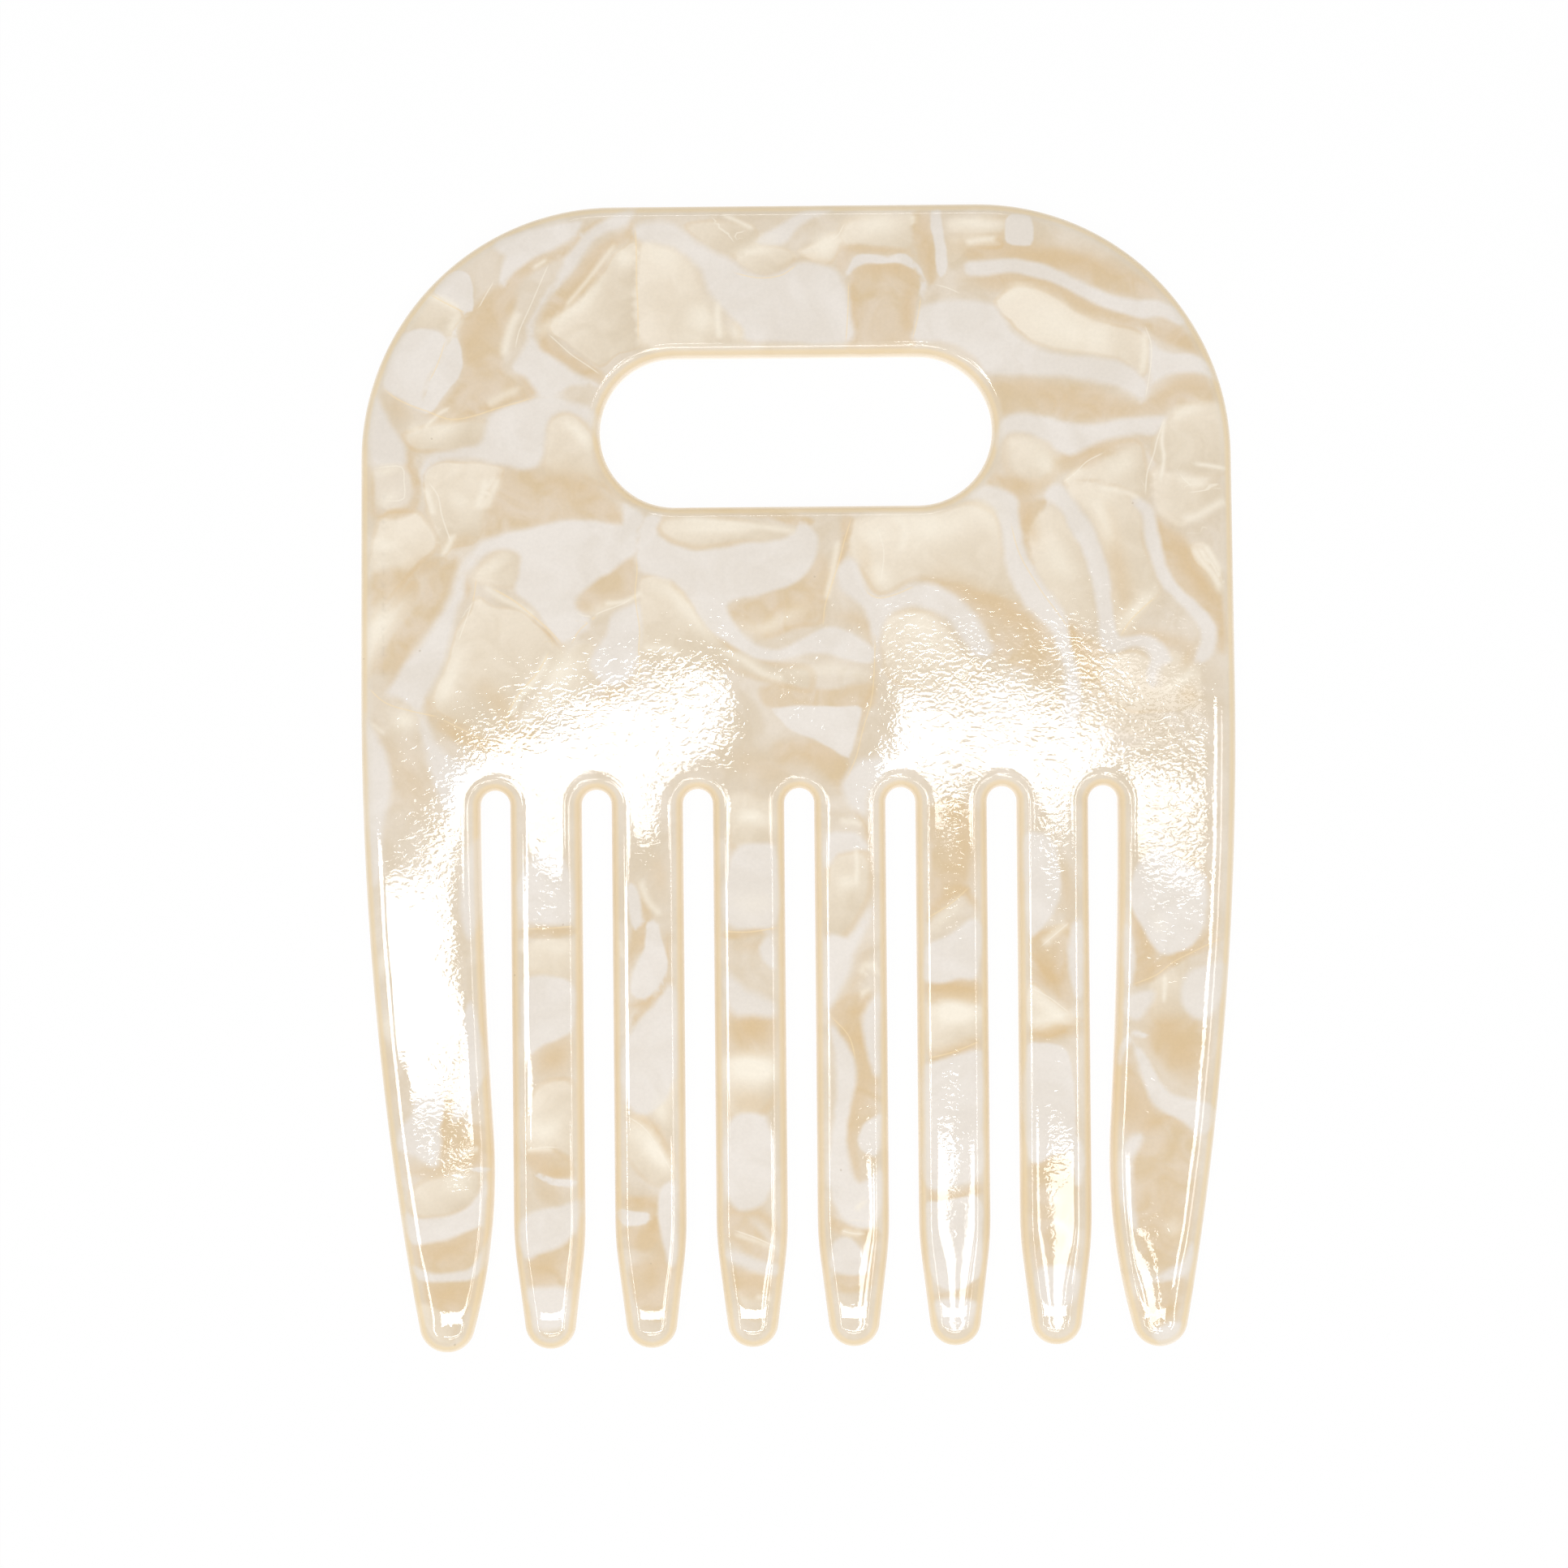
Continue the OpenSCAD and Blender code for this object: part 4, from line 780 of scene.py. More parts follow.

# Cracks between flakes: half-width, 1 for a bright one, which is painted as a glint, -1 for a dark one, then
# the line
CRACKS = (
    (0.06, -1, (-150, 521, -149, 497, -149, 469, -148, 442, -148, 412)),
    (0.05, 1, (-233, 421, -222, 411, -211, 401, -195, 390, -184, 382)),
    (0.05, 1, (-298, 446, -292, 457, -284, 470)),
    (0.05, 1, (-232, 486, -238, 473, -249, 448, -260, 424, -264, 407)),
    (0.06, -1, (-390, 372, -378, 362, -362, 354, -348, 349, -326, 341, -304, 344, -282, 351, -260, 357, -241,
     363)),
    (0.05, -1, (-344, 459, -328, 450, -312, 442)),
    (0.05, -1, (-330, 415, -337, 394, -345, 378)),
    (0.05, 1, (-400, 295, -373, 297, -370, 283, -371, 266, -390, 265)),
    (0.06, 1, (-347, 282, -338, 269, -335, 252, -330, 236, -326, 225)),
    (0.05, -1, (-152, 212, -151, 196, -153, 177, -152, 163, -149, 141, -150, 123, -149, 103, -154, 89)),
    (0.07, -1, (-289, 182, -268, 170, -251, 156, -235, 142, -223, 128)),
    (0.05, 1, (-208, 157, -197, 154, -183, 159, -164, 166, -154, 173)),
    (0.05, -1, (-303, 189, -306, 170, -314, 159)),
    (0.05, -1, (-213, 129, -205, 142, -188, 155)),
    (0.05, 1, (-320, 132, -314, 148, -306, 170)),
    (0.05, 1, (-78, 530, -68, 520, -60, 514, -46, 516)),
    (0.05, 1, (-76, 523, -65, 515, -57, 507)),
    (0.05, -1, (-57, 477, -35, 472, -13, 474, 2, 484)),
    (0.05, 1, (47, 522, 41, 511, 31, 505)),
    (0.05, -1, (51, 467, 50, 440, 48, 411)),
    (0.05, -1, (119, 453, 116, 434, 111, 414)),
    (0.05, 1, (133, 464, 144, 461, 155, 456)),
    (0.05, 1, (330, 423, 335, 410, 336, 394, 333, 372, 330, 356)),
    (0.06, 1, (348, 336, 341, 317, 337, 301, 331, 285, 329, 263)),
    (0.05, 1, (252, 277, 263, 285, 274, 296, 290, 304)),
    (0.05, -1, (52, 246, 45, 224, 39, 202, 32, 181, 26, 162, 24, 142)),
    (0.05, -1, (202, 239, 210, 209, 229, 176, 245, 154, 256, 138)),
    (0.05, -1, (65, 175, 76, 169, 92, 172, 111, 180)),
    (0.05, 1, (76, 235, 82, 213, 79, 186)),
    (0.05, -1, (305, 132, 316, 148, 338, 168)),
    (0.05, 1, (361, 284, 372, 273, 388, 273, 399, 274)),
    (0.05, 1, (372, 266, 386, 268, 402, 272)),
    (0.06, -1, (-273, 43, -275, 60, -263, 82, -246, 101, -234, 122)),
    (0.05, -1, (-340, 60, -318, 49, -296, 38)),
    (0.05, -1, (-405, 88, -389, 74, -364, 66, -337, 60)),
    (0.05, -1, (73, 136, 72, 103, 69, 73, 61, 46, 54, 19, 44, -3)),
    (0.05, -1, (-265, -140, -240, -140, -214, -138)),
    (0.05, -1, (-73, -144, -49, -145, -21, -141)),
    (0.05, -1, (122, -132, 142, -120, 159, -105)),
    (0.05, 1, (215, -199, 234, -209, 253, -224)),
    (0.05, -1, (312, -198, 335, -189, 351, -177, 373, -166, 398, -154)),
    (0.05, 1, (227, -161, 240, -150, 253, -139)),
    (0.05, 1, (-261, -349, -242, -346, -231, -347)),
    (0.05, 1, (-65, -426, -43, -434, -24, -443)),
    (0.05, 1, (-168, -316, -146, -332, -123, -371)),
    (0.05, -1, (28, -225, 45, -244, 51, -266)),
    (0.05, -1, (121, -265, 143, -260, 168, -250)),
    (0.05, 1, (36, -427, 46, -430, 59, -431)),
)


def arc(centre, radius, start, end, step):
    """Points c + r (cos a, sin a) for angles a from start to end in degrees, both ends included."""
    count = max(2, math.ceil(radius * abs(math.radians(end - start)) / step))
    a = np.radians(np.linspace(start, end, count + 1))
    return np.column_stack([centre[0] + radius * np.cos(a), centre[1] + radius * np.sin(a)])


def run(start, end, step):
    """Points start + t (end - start) for t from 0 to 1, both ends included."""
    start, end = np.asarray(start, float), np.asarray(end, float)
    count = max(1, math.ceil(np.linalg.norm(end - start) / step))
    return start + np.linspace(0, 1, count + 1)[:, None] * (end - start)


def joined(parts):
    """One row of points from parts that each start where the one before ends."""
    return np.vstack([parts[0]] + [part[1:] for part in parts[1:]])


def mirrored(points):
    """The same row seen in the comb's middle line, walked backwards: x becomes -x."""
    return points[::-1] * (-1, 1)


def inner_tooth_side(s):
    """Right side of an inner tooth, from its root to the bottom of its tip: a straight run, a soft
    shoulder, a leaning line that touches the tip circle, and a quarter of that circle."""
    half = s.tooth_w / 2
    tip = s.tip_r - s.tooth_l
    shoulder = s.taper_l - s.tooth_l
    turn = math.acos(s.tip_r / math.hypot(half, shoulder - tip)) - math.atan2(shoulder - tip, half)
    top = shoulder + s.shoulder_r * math.tan(turn / 2)
    turn = math.degrees(turn)
    bend = arc((half - s.shoulder_r, top), s.shoulder_r, 0, -turn, s.step)
    nose = arc((0, tip), s.tip_r, -turn, -90, s.fine_step)
    return joined([run((half, 0), (half, top), s.step), bend, run(bend[-1], nose[0], s.step), nose])


def end_tip(s):
    """Centre of the right end tooth's tip circle, which touches the long side arc from inside."""
    reach = s.side_r - s.end_tip_r
    low = s.end_tip_r - s.end_l
    return np.array([HALF_W - s.side_r + math.sqrt(reach ** 2 - (low - s.belly_y) ** 2), low])


def end_tooth_side(s, wall_x):
    """Right end tooth from its inner root round the tip and up to the widest line: a hollow arc, a
    bulging arc, the tip circle inside it, and the long side arc that the tip circle also touches."""
    side = np.array([HALF_W - s.side_r, s.belly_y])
    tip = end_tip(s)
    inner = s.bulge_r - s.end_tip_r
    bulge_x = wall_x - s.gap_w + s.end_gap + s.bulge_r
    bulge = np.array([bulge_x, tip[1] + math.sqrt(inner ** 2 - (bulge_x - tip[0]) ** 2)])
    turn = 2 * math.atan((s.gap_w - s.end_gap) / -bulge[1])
    hollow_r = -bulge[1] / math.sin(turn) - s.bulge_r
    turn = math.degrees(turn)
    leave = math.degrees(math.atan2(tip[1] - bulge[1], tip[0] - bulge[0])) % 360
    meet = math.degrees(math.atan2(tip[1] - side[1], tip[0] - side[0]))
    return joined([arc((wall_x - hollow_r, 0), hollow_r, 0, -turn, s.step),
                   arc(bulge, s.bulge_r, 180 - turn, leave, s.step),
                   arc(tip, s.end_tip_r, leave, 360 + meet, s.fine_step),
                   arc(side, s.side_r, meet, 0, s.step)])


def comb_outline(s):
    """The whole silhouette, walked with the plate on the left hand: the right half from the middle
    gullet to the top edge, then its mirror image."""
    pitch = s.tooth_w + s.gap_w
    half_teeth = INNER_TEETH // 2
    parts = [arc((0, 0), s.gap_w / 2, 90, 0, s.fine_step)]
    side = inner_tooth_side(s)
    whole = joined([side * (-1, 1), side[::-1]])
    for i in range(half_teeth):
        parts.append(whole + ((i + 0.5) * pitch, 0))
        parts.append(arc(((i + 1) * pitch, 0), s.gap_w / 2, 180, 0, s.fine_step))
    parts.append(end_tooth_side(s, half_teeth * pitch + s.gap_w / 2))
    # the side leans inwards above the widest line, and touches the corner circle
    side_c = np.array([HALF_W - s.side_r, s.belly_y])
    corner = np.array([s.corner_x, TOP_Y - s.corner_r])
    apart = corner - side_c
    lean = math.atan2(apart[1], apart[0]) - math.acos((s.side_r - s.corner_r) / np.hypot(*apart))
    lean = math.degrees(lean)
    climb = arc(side_c, s.side_r, 0, lean, s.step)
    turn = arc(corner, s.corner_r, lean, 90, s.step)
    parts += [climb, run(climb[-1], turn[0], s.step), turn, run(turn[-1], (0, TOP_Y), s.step)]
    right = joined(parts)
    return np.vstack([right[:-1], mirrored(right)[:-1]])


def slot_outline(s):
    """The finger slot, walked with the plate on the left hand: two half circles and two straight runs."""
    r = s.slot_h / 2
    x = s.slot_l / 2 - r
    y = TOP_Y - s.slot_drop
    loop = joined([run((-x, y + r), (x, y + r), s.step), arc((x, y), r, 90, -90, s.step),
                   run((x, y - r), (-x, y - r), s.step), arc((-x, y), r, 270, 90, s.step)])
    return loop[:-1]


def inward_normals(loop):
    """Unit normals to the left of a closed walk, square to the chord between each point's neighbours."""
    along = np.roll(loop, -1, 0) - np.roll(loop, 1, 0)
    along /= np.linalg.norm(along, axis=1)[:, None]
    return np.column_stack([-along[:, 1], along[:, 0]])


def distance_to(points, line, closed, signed=False):
    """Least distance from each point to the runs of a line, worked out for a block of points
    together. With signed, the side of the nearest run is its sign, left positive, and the place of
    that run along the line comes too, from 0 to 1."""
    start = line if closed else line[:-1]
    end = np.roll(line, -1, 0) if closed else line[1:]
    step = end - start
    length2 = np.maximum((step ** 2).sum(1), NO_LENGTH)
    best = np.empty(len(points))
    near = np.empty(len(points), int)
    share = np.empty(len(points))
    for low in range(0, len(points), BLOCK):
        away = points[low:low + BLOCK, None, :] - start
        t = np.clip((away * step).sum(2) / length2, 0, 1)
        d2 = ((away - t[..., None] * step) ** 2).sum(2)
        k = d2.argmin(1)
        rows = np.arange(len(k))
        near[low:low + BLOCK] = k
        best[low:low + BLOCK] = np.sqrt(d2[rows, k])
        share[low:low + BLOCK] = (k + t[rows, k]) / len(start)
    if not signed:
        return best
    away = points - start[near]
    side = step[near][:, 0] * away[:, 1] - step[near][:, 1] * away[:, 0]
    return np.where(side < 0, -best, best), share


def inside(points, loops):
    """True where a ray to +x from the point crosses the loops an odd number of times."""
    odd = np.zeros(len(points), bool)
    for loop in loops:
        a, b = loop, np.roll(loop, -1, 0)
        for low in range(0, len(points), BLOCK):
            p = points[low:low + BLOCK]
            spans = (a[:, 1] > p[:, 1, None]) != (b[:, 1] > p[:, 1, None])
            rise = np.where(b[:, 1] == a[:, 1], 1, b[:, 1] - a[:, 1])
            x = a[:, 0] + (p[:, 1, None] - a[:, 1]) * (b[:, 0] - a[:, 0]) / rise
            odd[low:low + BLOCK] ^= ((spans & (x > p[:, 0, None])).sum(1) % 2).astype(bool)
    return odd


def smooth_step(low, high, x):
    """0 below low, 1 above high, and 3t^2 - 2t^3 between."""
    t = np.clip((x - low) / (high - low), 0, 1)
    return t * t * (3 - 2 * t)


def ripple(points, wavelength, seed):
    """Smooth value from about -1 to 1: a few sines of unlike directions, phases and scales, added."""
    phase = np.random.default_rng(seed)
    total = np.zeros(len(points))
    for _ in range(RIPPLE_SINES):
        turn = phase.uniform(0, 2 * np.pi)
        shift = phase.uniform(0, 2 * np.pi)
        scale = phase.uniform(*RIPPLE_SCALES)
        along = points @ (math.cos(turn), math.sin(turn))
        total += np.sin(along * 2 * np.pi * scale / wavelength + shift)
    return total / RIPPLE_PEAK


def noted(shape):
    """The points of a noted shape in millimetres, from its row of tenths."""
    return np.reshape(shape[-1], (-1, 2)) / 10


def soft_curve(points, closed):
    """Points on a Catmull-Rom curve through the given ones, a few to a span."""
    before, after = (points[-1:], points[:2]) if closed else (points[:1], points[-1:])
    p = np.vstack([before, points, after])
    t = np.linspace(0, 1, SPAN_POINTS + 1)[:-1, None, None]
    a, b, c, d = p[:-3], p[1:-2], p[2:-1], p[3:]
    square = (2 * a - 5 * b + 4 * c - d) * t ** 2
    cube = (3 * b - a - 3 * c + d) * t ** 3
    curve = 0.5 * (2 * b + (c - a) * t + square + cube)
    curve = curve.transpose(1, 0, 2).reshape(-1, 2)
    return curve if closed else np.vstack([curve, points[-1:]])


def box_round(points, curve, reach):
    """Numbers of the points inside a curve's box widened by reach."""
    return np.flatnonzero(((points > curve.min(0) - reach) & (points < curve.max(0) + reach)).all(1))


def flake_field(points, flakes):
    """For each point the largest share, over all flakes, of depth inside the outline to the rim's
    softness, negative outside; and the number of the flake that gives it."""
    field = np.full(len(points), -FAR)
    which = np.zeros(len(points), int)
    for i, flake in enumerate(flakes):
        outline = soft_curve(noted(flake), True)
        near = box_round(points, outline, FIELD_REACH)
        depth = distance_to(points[near], outline, True)
        depth = np.where(inside(points[near], [outline]), depth, -depth)
        value = np.clip(depth, -FIELD_REACH, FIELD_REACH) / flake[0]
        better = value > field[near]
        field[near[better]] = value[better]
        which[near[better]] = i
    return field, which


def painted_flake_lean(points, flakes, which):
    """Painted light and shade on the satin: how much each place is lit for lying towards the lit side of
    its flake, which is up to the left with some turn of its own: the way from the flake's middle over
    its reach, times a tone."""
    turns = np.random.default_rng(LIT_SEED).uniform(-LIT_SPREAD, LIT_SPREAD, len(flakes))
    turns = np.radians(LIT_WAY + turns)
    towards = np.column_stack([np.cos(turns), np.sin(turns)])
    outlines = [noted(flake) for flake in flakes]
    middle = np.array([outline.mean(0) for outline in outlines])
    reach = np.array([np.ptp(outline @ way) / 2 for outline, way in zip(outlines, towards)])
    along = ((points - middle[which]) * towards[which]).sum(1) / reach[which]
    return LIT_TONE * np.clip(along, -1, 1)


def glow_field(points, glows):
    """Sum of strength exp(-(d / half-width)^2) over the lines, the painted glints as well as the
    amber shades, faded towards each line's ends.
    """
    total = np.zeros(len(points))
    for glow in glows:
        width, strength, _ = glow
        curve = soft_curve(noted(glow), False)
        near = box_round(points, curve, GLOW_REACH * width)
        d, share = distance_to(points[near], curve, False, True)
        ends = GLOW_ENDS + (1 - GLOW_ENDS) * np.sin(np.pi * share)
        total[near] += strength * np.exp(-(d / width) ** 2) * ends
    return total


def line_field(points, lines, reach):
    """For each point the signed distance to the nearest line, as a share of its half-width, and its
    strength, which fades over reach and towards the line's ends."""
    best = np.full(len(points), FAR)
    signed = np.full(len(points), FAR)
    weight = np.zeros(len(points))
    for line in lines:
        width, strength, _ = line
        curve = soft_curve(noted(line), False)
        near = box_round(points, curve, FIELD_REACH)
        d, share = distance_to(points[near], curve, False, True)
        closer = np.abs(d) < best[near]
        k = near[closer]
        best[k] = np.abs(d[closer])
        signed[k] = d[closer] / width
        ends = smooth_step(0, LINE_ENDS, share[closer]) * smooth_step(0, LINE_ENDS, 1 - share[closer])
        weight[k] = strength * ends * (1 - smooth_step(reach * LINE_HOLD, reach, best[k]))
    return signed, weight


def marbling(points):
    """All the colour fields of the sheet, painted sheen, glints and shade among them, at the given
    places, in millimetres of the comb's frame.
    """
    p = points + sum(np.column_stack([ripple(points, length, seed) for seed in seeds]) * reach
                     for length, reach, seeds in DRIFTS)
    satin, which = flake_field(p, SATIN_FLAKES)
    # The satin's tone is painted sheen: each flake's listed brightness, lighter on its painted lit side
    tone = np.array([flake[1] for flake in SATIN_FLAKES])[which] + painted_flake_lean(p, SATIN_FLAKES, which)
    streak, streak_w = line_field(points, STREAKS, STREAK_REACH)
    crack, crack_w = line_field(points, CRACKS, CRACK_REACH)
    # glow and streak are painted glints; shade is partly the sheet's amber, partly painted shade
    return {"white": flake_field(p, WHITE_FLAKES)[0], "honey": flake_field(p, HONEY_FLAKES)[0],
            "satin": satin, "tone": tone, "glow": glow_field(p, GLOWS), "shade": glow_field(p, SHADES),
            "streak": streak, "streak_w": streak_w, "crack": crack, "crack_w": crack_w}


def half_thickness(points, s):
    """Half the thickness at each place: the full sheet, sloping down as the square of the way into
    the last part of a tooth, and rounded off over its nose like a quarter ellipse. Both follow lines
    that bow round the tip, by the square of the distance from the tooth's middle line."""
    pitch = s.tooth_w + s.gap_w
    x = np.abs(points[:, 0])
    end = x > (INNER_TEETH / 2) * pitch
    aside = x - np.where(end, end_tip(s)[0], (np.floor(x / pitch) + 0.5) * pitch)
    bowed = s.bow * np.minimum(aside ** 2, BOW_LIMIT)
    from_tip = points[:, 1] + np.where(end, s.end_l, s.tooth_l) - bowed
    slope = np.clip((s.thin_l - from_tip) / (s.thin_l - s.nose_l), 0, 1)
    sloped = SHEET / 2 - (SHEET - s.tip_t) / 2 * slope ** 2
    nose = np.clip(1 - from_tip / s.nose_l, 0, 1)
    return sloped * (s.nose_keep + (1 - s.nose_keep) * np.sqrt(1 - nose ** 2))


def hand_polish(points, depth, s):
    """How far the faces lie below the sheet's plane: long shallow waves and dishes left by polishing,
    a fall towards the edges as the square of the nearness, and a slight crown on each tooth."""
    x = np.abs(points[:, 0])
    waves = sum((weight * ripple(points, s.wave_l * length, seed) for length, weight, seed in WAVES), 1)
    dishes = np.zeros(len(points))
    for across, up, rx, ry, drop in DISHES:
        dishes += drop * np.exp(-((points[:, 0] - across) / rx) ** 2 - ((points[:, 1] - up) / ry) ** 2)
    # the face falls over a wider strip beside the comb's outer sides than beside its gaps
    fall_w = s.fall_w + s.side_fall * smooth_step(*SIDE_STRIP, x)
    fall = s.fall * (fall_w / s.fall_w) ** FALL_POWER * np.clip(1 - depth / fall_w, 0, 1) ** 2
    pitch = s.tooth_w + s.gap_w
    last_gap = INNER_TEETH / 2 * pitch
    aside = (points[:, 0] / pitch) % 1 * pitch - pitch / 2
    toothed = smooth_step(*CROWN_FADE, points[:, 1]) * smooth_step(last_gap + CROWN_END, last_gap, x)
    crown = s.crown * np.minimum(aside / CROWN_HALF, CROWN_LIMIT) ** 2 * toothed
    return np.clip(s.wave * waves / 2 + dishes, 0, None) + fall + crown


def edge_profile(s):
    """Section of the rounded edge as rows (distance inwards, share of the half-thickness): the flat
    wall, a quarter circle, and a few more rows on the flat face."""
    share = s.band / (SHEET / 2)
    rows = [(0, 0), (0, (1 - share) * WALL_ROW)]
    rows += [(s.band * (1 - math.cos(a)), 1 - share + share * math.sin(a)) for a in np.radians(EDGE_TURNS)]
    rows += [(s.band + way, 1) for way in FLAT_ROWS]
    return np.array(rows)


def honeycomb(rings, s):
    """Points of a honeycomb grid that lie between the rings and clear of them."""
    grid_x = np.arange(-HALF_W, HALF_W, s.net)
    grid_y = np.arange(-s.end_l, TOP_Y, s.net * NET_ROW)
    grid = np.stack(np.meshgrid(grid_x, grid_y), -1)
    grid[1::2, :, 0] += s.net / 2
    grid = grid.reshape(-1, 2)
    grid = grid[inside(grid, rings)]
    clear = np.minimum(*[distance_to(grid, ring, True) for ring in rings])
    return grid[clear > s.net * NET_CLEAR]


def flat_triangles(rings, grid):
    """Triangles of the net over the flat face, with the rings as fixed edges: kept where they lie on
    the plate, and turned to face up."""
    flat = np.vstack(rings + [grid])
    edges = []
    low = 0
    for n in map(len, rings):
        k = np.arange(n)
        edges.append(np.column_stack([k, (k + 1) % n]) + low)
        low += n
    net = delaunay_2d_cdt(flat.tolist(), np.vstack(edges).tolist(), [], 0, NET_ONE)
    if len(net[0]) != len(flat) or not np.allclose(np.array(net[0]), flat, atol=NET_MOVED):
        raise RuntimeError("the net moved or added points")
    triangles = np.array(net[2])
    triangles = triangles[inside(flat[triangles].mean(1), rings)]
    corner = flat[triangles]
    a, b = corner[:, 1] - corner[:, 0], corner[:, 2] - corner[:, 0]
    backwards = a[:, 0] * b[:, 1] - a[:, 1] * b[:, 0] < 0
    triangles[backwards] = triangles[backwards][:, ::-1]
    return triangles


def plate_mesh(s):
    """The whole comb as one closed surface: the edge profile carried along both outlines, and the flat
    faces filled by a triangle net whose inner points lie on a honeycomb grid."""
    loops = [comb_outline(s), slot_outline(s)]
    sizes = [len(loop) for loop in loops]
    normals = [inward_normals(loop) for loop in loops]
    profile = edge_profile(s)
    rows = len(profile)
    rings = [loop + normal * profile[-1, 0] for loop, normal in zip(loops, normals)]
    grid = honeycomb(rings, s)
    triangles = flat_triangles(rings, grid)

    # flat places and heights of every row on the top half
    places = [loop + profile[:, 0, None, None] * normal for loop, normal in zip(loops, normals)]
    xy = np.vstack([place.reshape(-1, 2) for place in places] + [grid])
    share = np.concatenate([np.repeat(profile[:, 1], n) for n in sizes] + [np.ones(len(grid))])
    depth = np.minimum(*[distance_to(xy, loop, True) for loop in loops])
    lift = half_thickness(xy, s) * share
    on_face = smooth_step(POLISH_FROM, 1, share)
    low = hand_polish(xy, depth, s) * on_face
    under = hand_polish(xy * (-1, 1), depth, s) * on_face
    top = np.column_stack([xy, SHEET / 2 + lift - np.minimum(low, lift * POLISH_MOST)])
    bottom = np.column_stack([xy, SHEET / 2 - lift + np.minimum(under, lift * POLISH_MOST)])

    # the wall's middle row is shared by both halves
    count = len(xy)
    twin = np.arange(count) + count
    starts = np.cumsum([0] + [rows * n for n in sizes])
    quads = []
    ring_ids = []
    for n, at in zip(sizes, starts):
        twin[at:at + n] = np.arange(at, at + n)
        r, k = np.meshgrid(np.arange(rows - 1), np.arange(n), indexing="ij")
        one, two = at + r * n + k, at + r * n + (k + 1) % n
        quads.append(np.stack([one, two, two + n, one + n], -1).reshape(-1, 4))
        ring_ids.append(at + (rows - 1) * n + np.arange(n))
    quads = np.vstack(quads)
    face = np.concatenate(ring_ids + [np.arange(starts[-1], count)])[triangles]
    used = np.concatenate([np.arange(count), np.setdiff1d(twin, np.arange(count))])
    order = np.full(2 * count, -1)
    order[used] = np.arange(len(used))
    faces = [order[quads], order[twin[quads]][:, ::-1], order[face], order[twin[face]][:, ::-1]]

    front = marbling(xy + (0, ROOT_Y))
    back = marbling((xy * (-1, 1) + (0, ROOT_Y)) * FAR_FACE_SCALE + FAR_FACE_MOVE)
    fields = {name: np.concatenate([values, back[name]])[used] for name, values in front.items()}
    fields["depth"] = np.concatenate([depth, depth])[used]
    points = np.vstack([top, bottom])[used]
    return (points + (0, ROOT_Y, 0)) * MM, faces, fields


def number(name, description, default, **more):
    """A setting that holds one number."""
    return FloatProperty(name=name, description=description, default=default, **more)


def paint(name, description, *rgb):
    """A setting that holds a colour."""
    return FloatVectorProperty(name=name, description=description, subtype="COLOR", size=3, default=rgb)


class CombSizes(bpy.types.PropertyGroup):
    """Sizes of the comb in millimetres."""

    band: number("Edge radius", "Radius of the rounded edge", 1.3, min=0.5, max=1.6)
    tooth_w: number("Tooth width", "Width of an inner tooth", 6.78)
    gap_w: number("Gap", "Width of the gap between two teeth", 2.8)
    tooth_l: number("Tooth length", "Length of an inner tooth", 51.5)
    end_l: number("End tooth length", "Length of an end tooth", 51.7595)
    taper_l: number("Taper", "Length of the taper of an inner tooth", 10.3)
    tip_r: number("Tip radius", "Radius of an inner tooth's tip", 2.4)
    shoulder_r: number("Shoulder", "Radius where the taper begins", 34)
    end_gap: number("End gap", "Narrowest gap beside an end tooth", 1.76)
    bulge_r: number("Bulge", "Radius of the inner side of an end tooth", 58)
    end_tip_r: number("End tip radius", "Radius of an end tooth's tip", 2.62)
    side_r: number("Side radius", "Radius of the long curve down each side", 335)
    belly_y: number("Belly", "Height of the widest line above the roots", 8.2)
    corner_r: number("Corner radius", "Radius of the two top corners", 24)
    corner_x: number("Corner centre", "Distance of its centre from the middle", 17.13)
    slot_l: number("Slot length", "Length of the finger slot", 37.1)
    slot_h: number("Slot height", "Height of the finger slot", 14.1)
    slot_drop: number("Slot drop", "From the top edge to the slot's middle", 21.4)
    tip_t: number("Tip thickness", "Thickness where the nose begins", 2.7)
    thin_l: number("Thinning", "Length over which the faces slope down", 11)
    nose_l: number("Nose", "Length of the rounded nose", 2.4)
    bow: number("Tip bow", "How strongly the thinning bows round a tip", 0.09)
    nose_keep: number("Nose share", "Share of thickness kept at the tip", 0.45)
    wave: number("Waves", "Depth of the polishing waves", 0.04)
    wave_l: number("Wave length", "Length of the polishing waves", 26)
    fall: number("Edge fall", "How far the faces fall beside an edge", 0.12)
    fall_w: number("Edge fall width", "Width of that fall", 1.8)
    side_fall: number("Side fall", "More width of it at the outer sides", 0.8)
    crown: number("Crown", "Rise of a tooth's middle line over its sides", 0.005)
    step: number("Step", "Length of the runs along the outline", 0.6)
    fine_step: number("Fine step", "The same round gullets and tips", 0.3)
    net: number("Net", "Spacing of the net over the flat faces", 0.56)


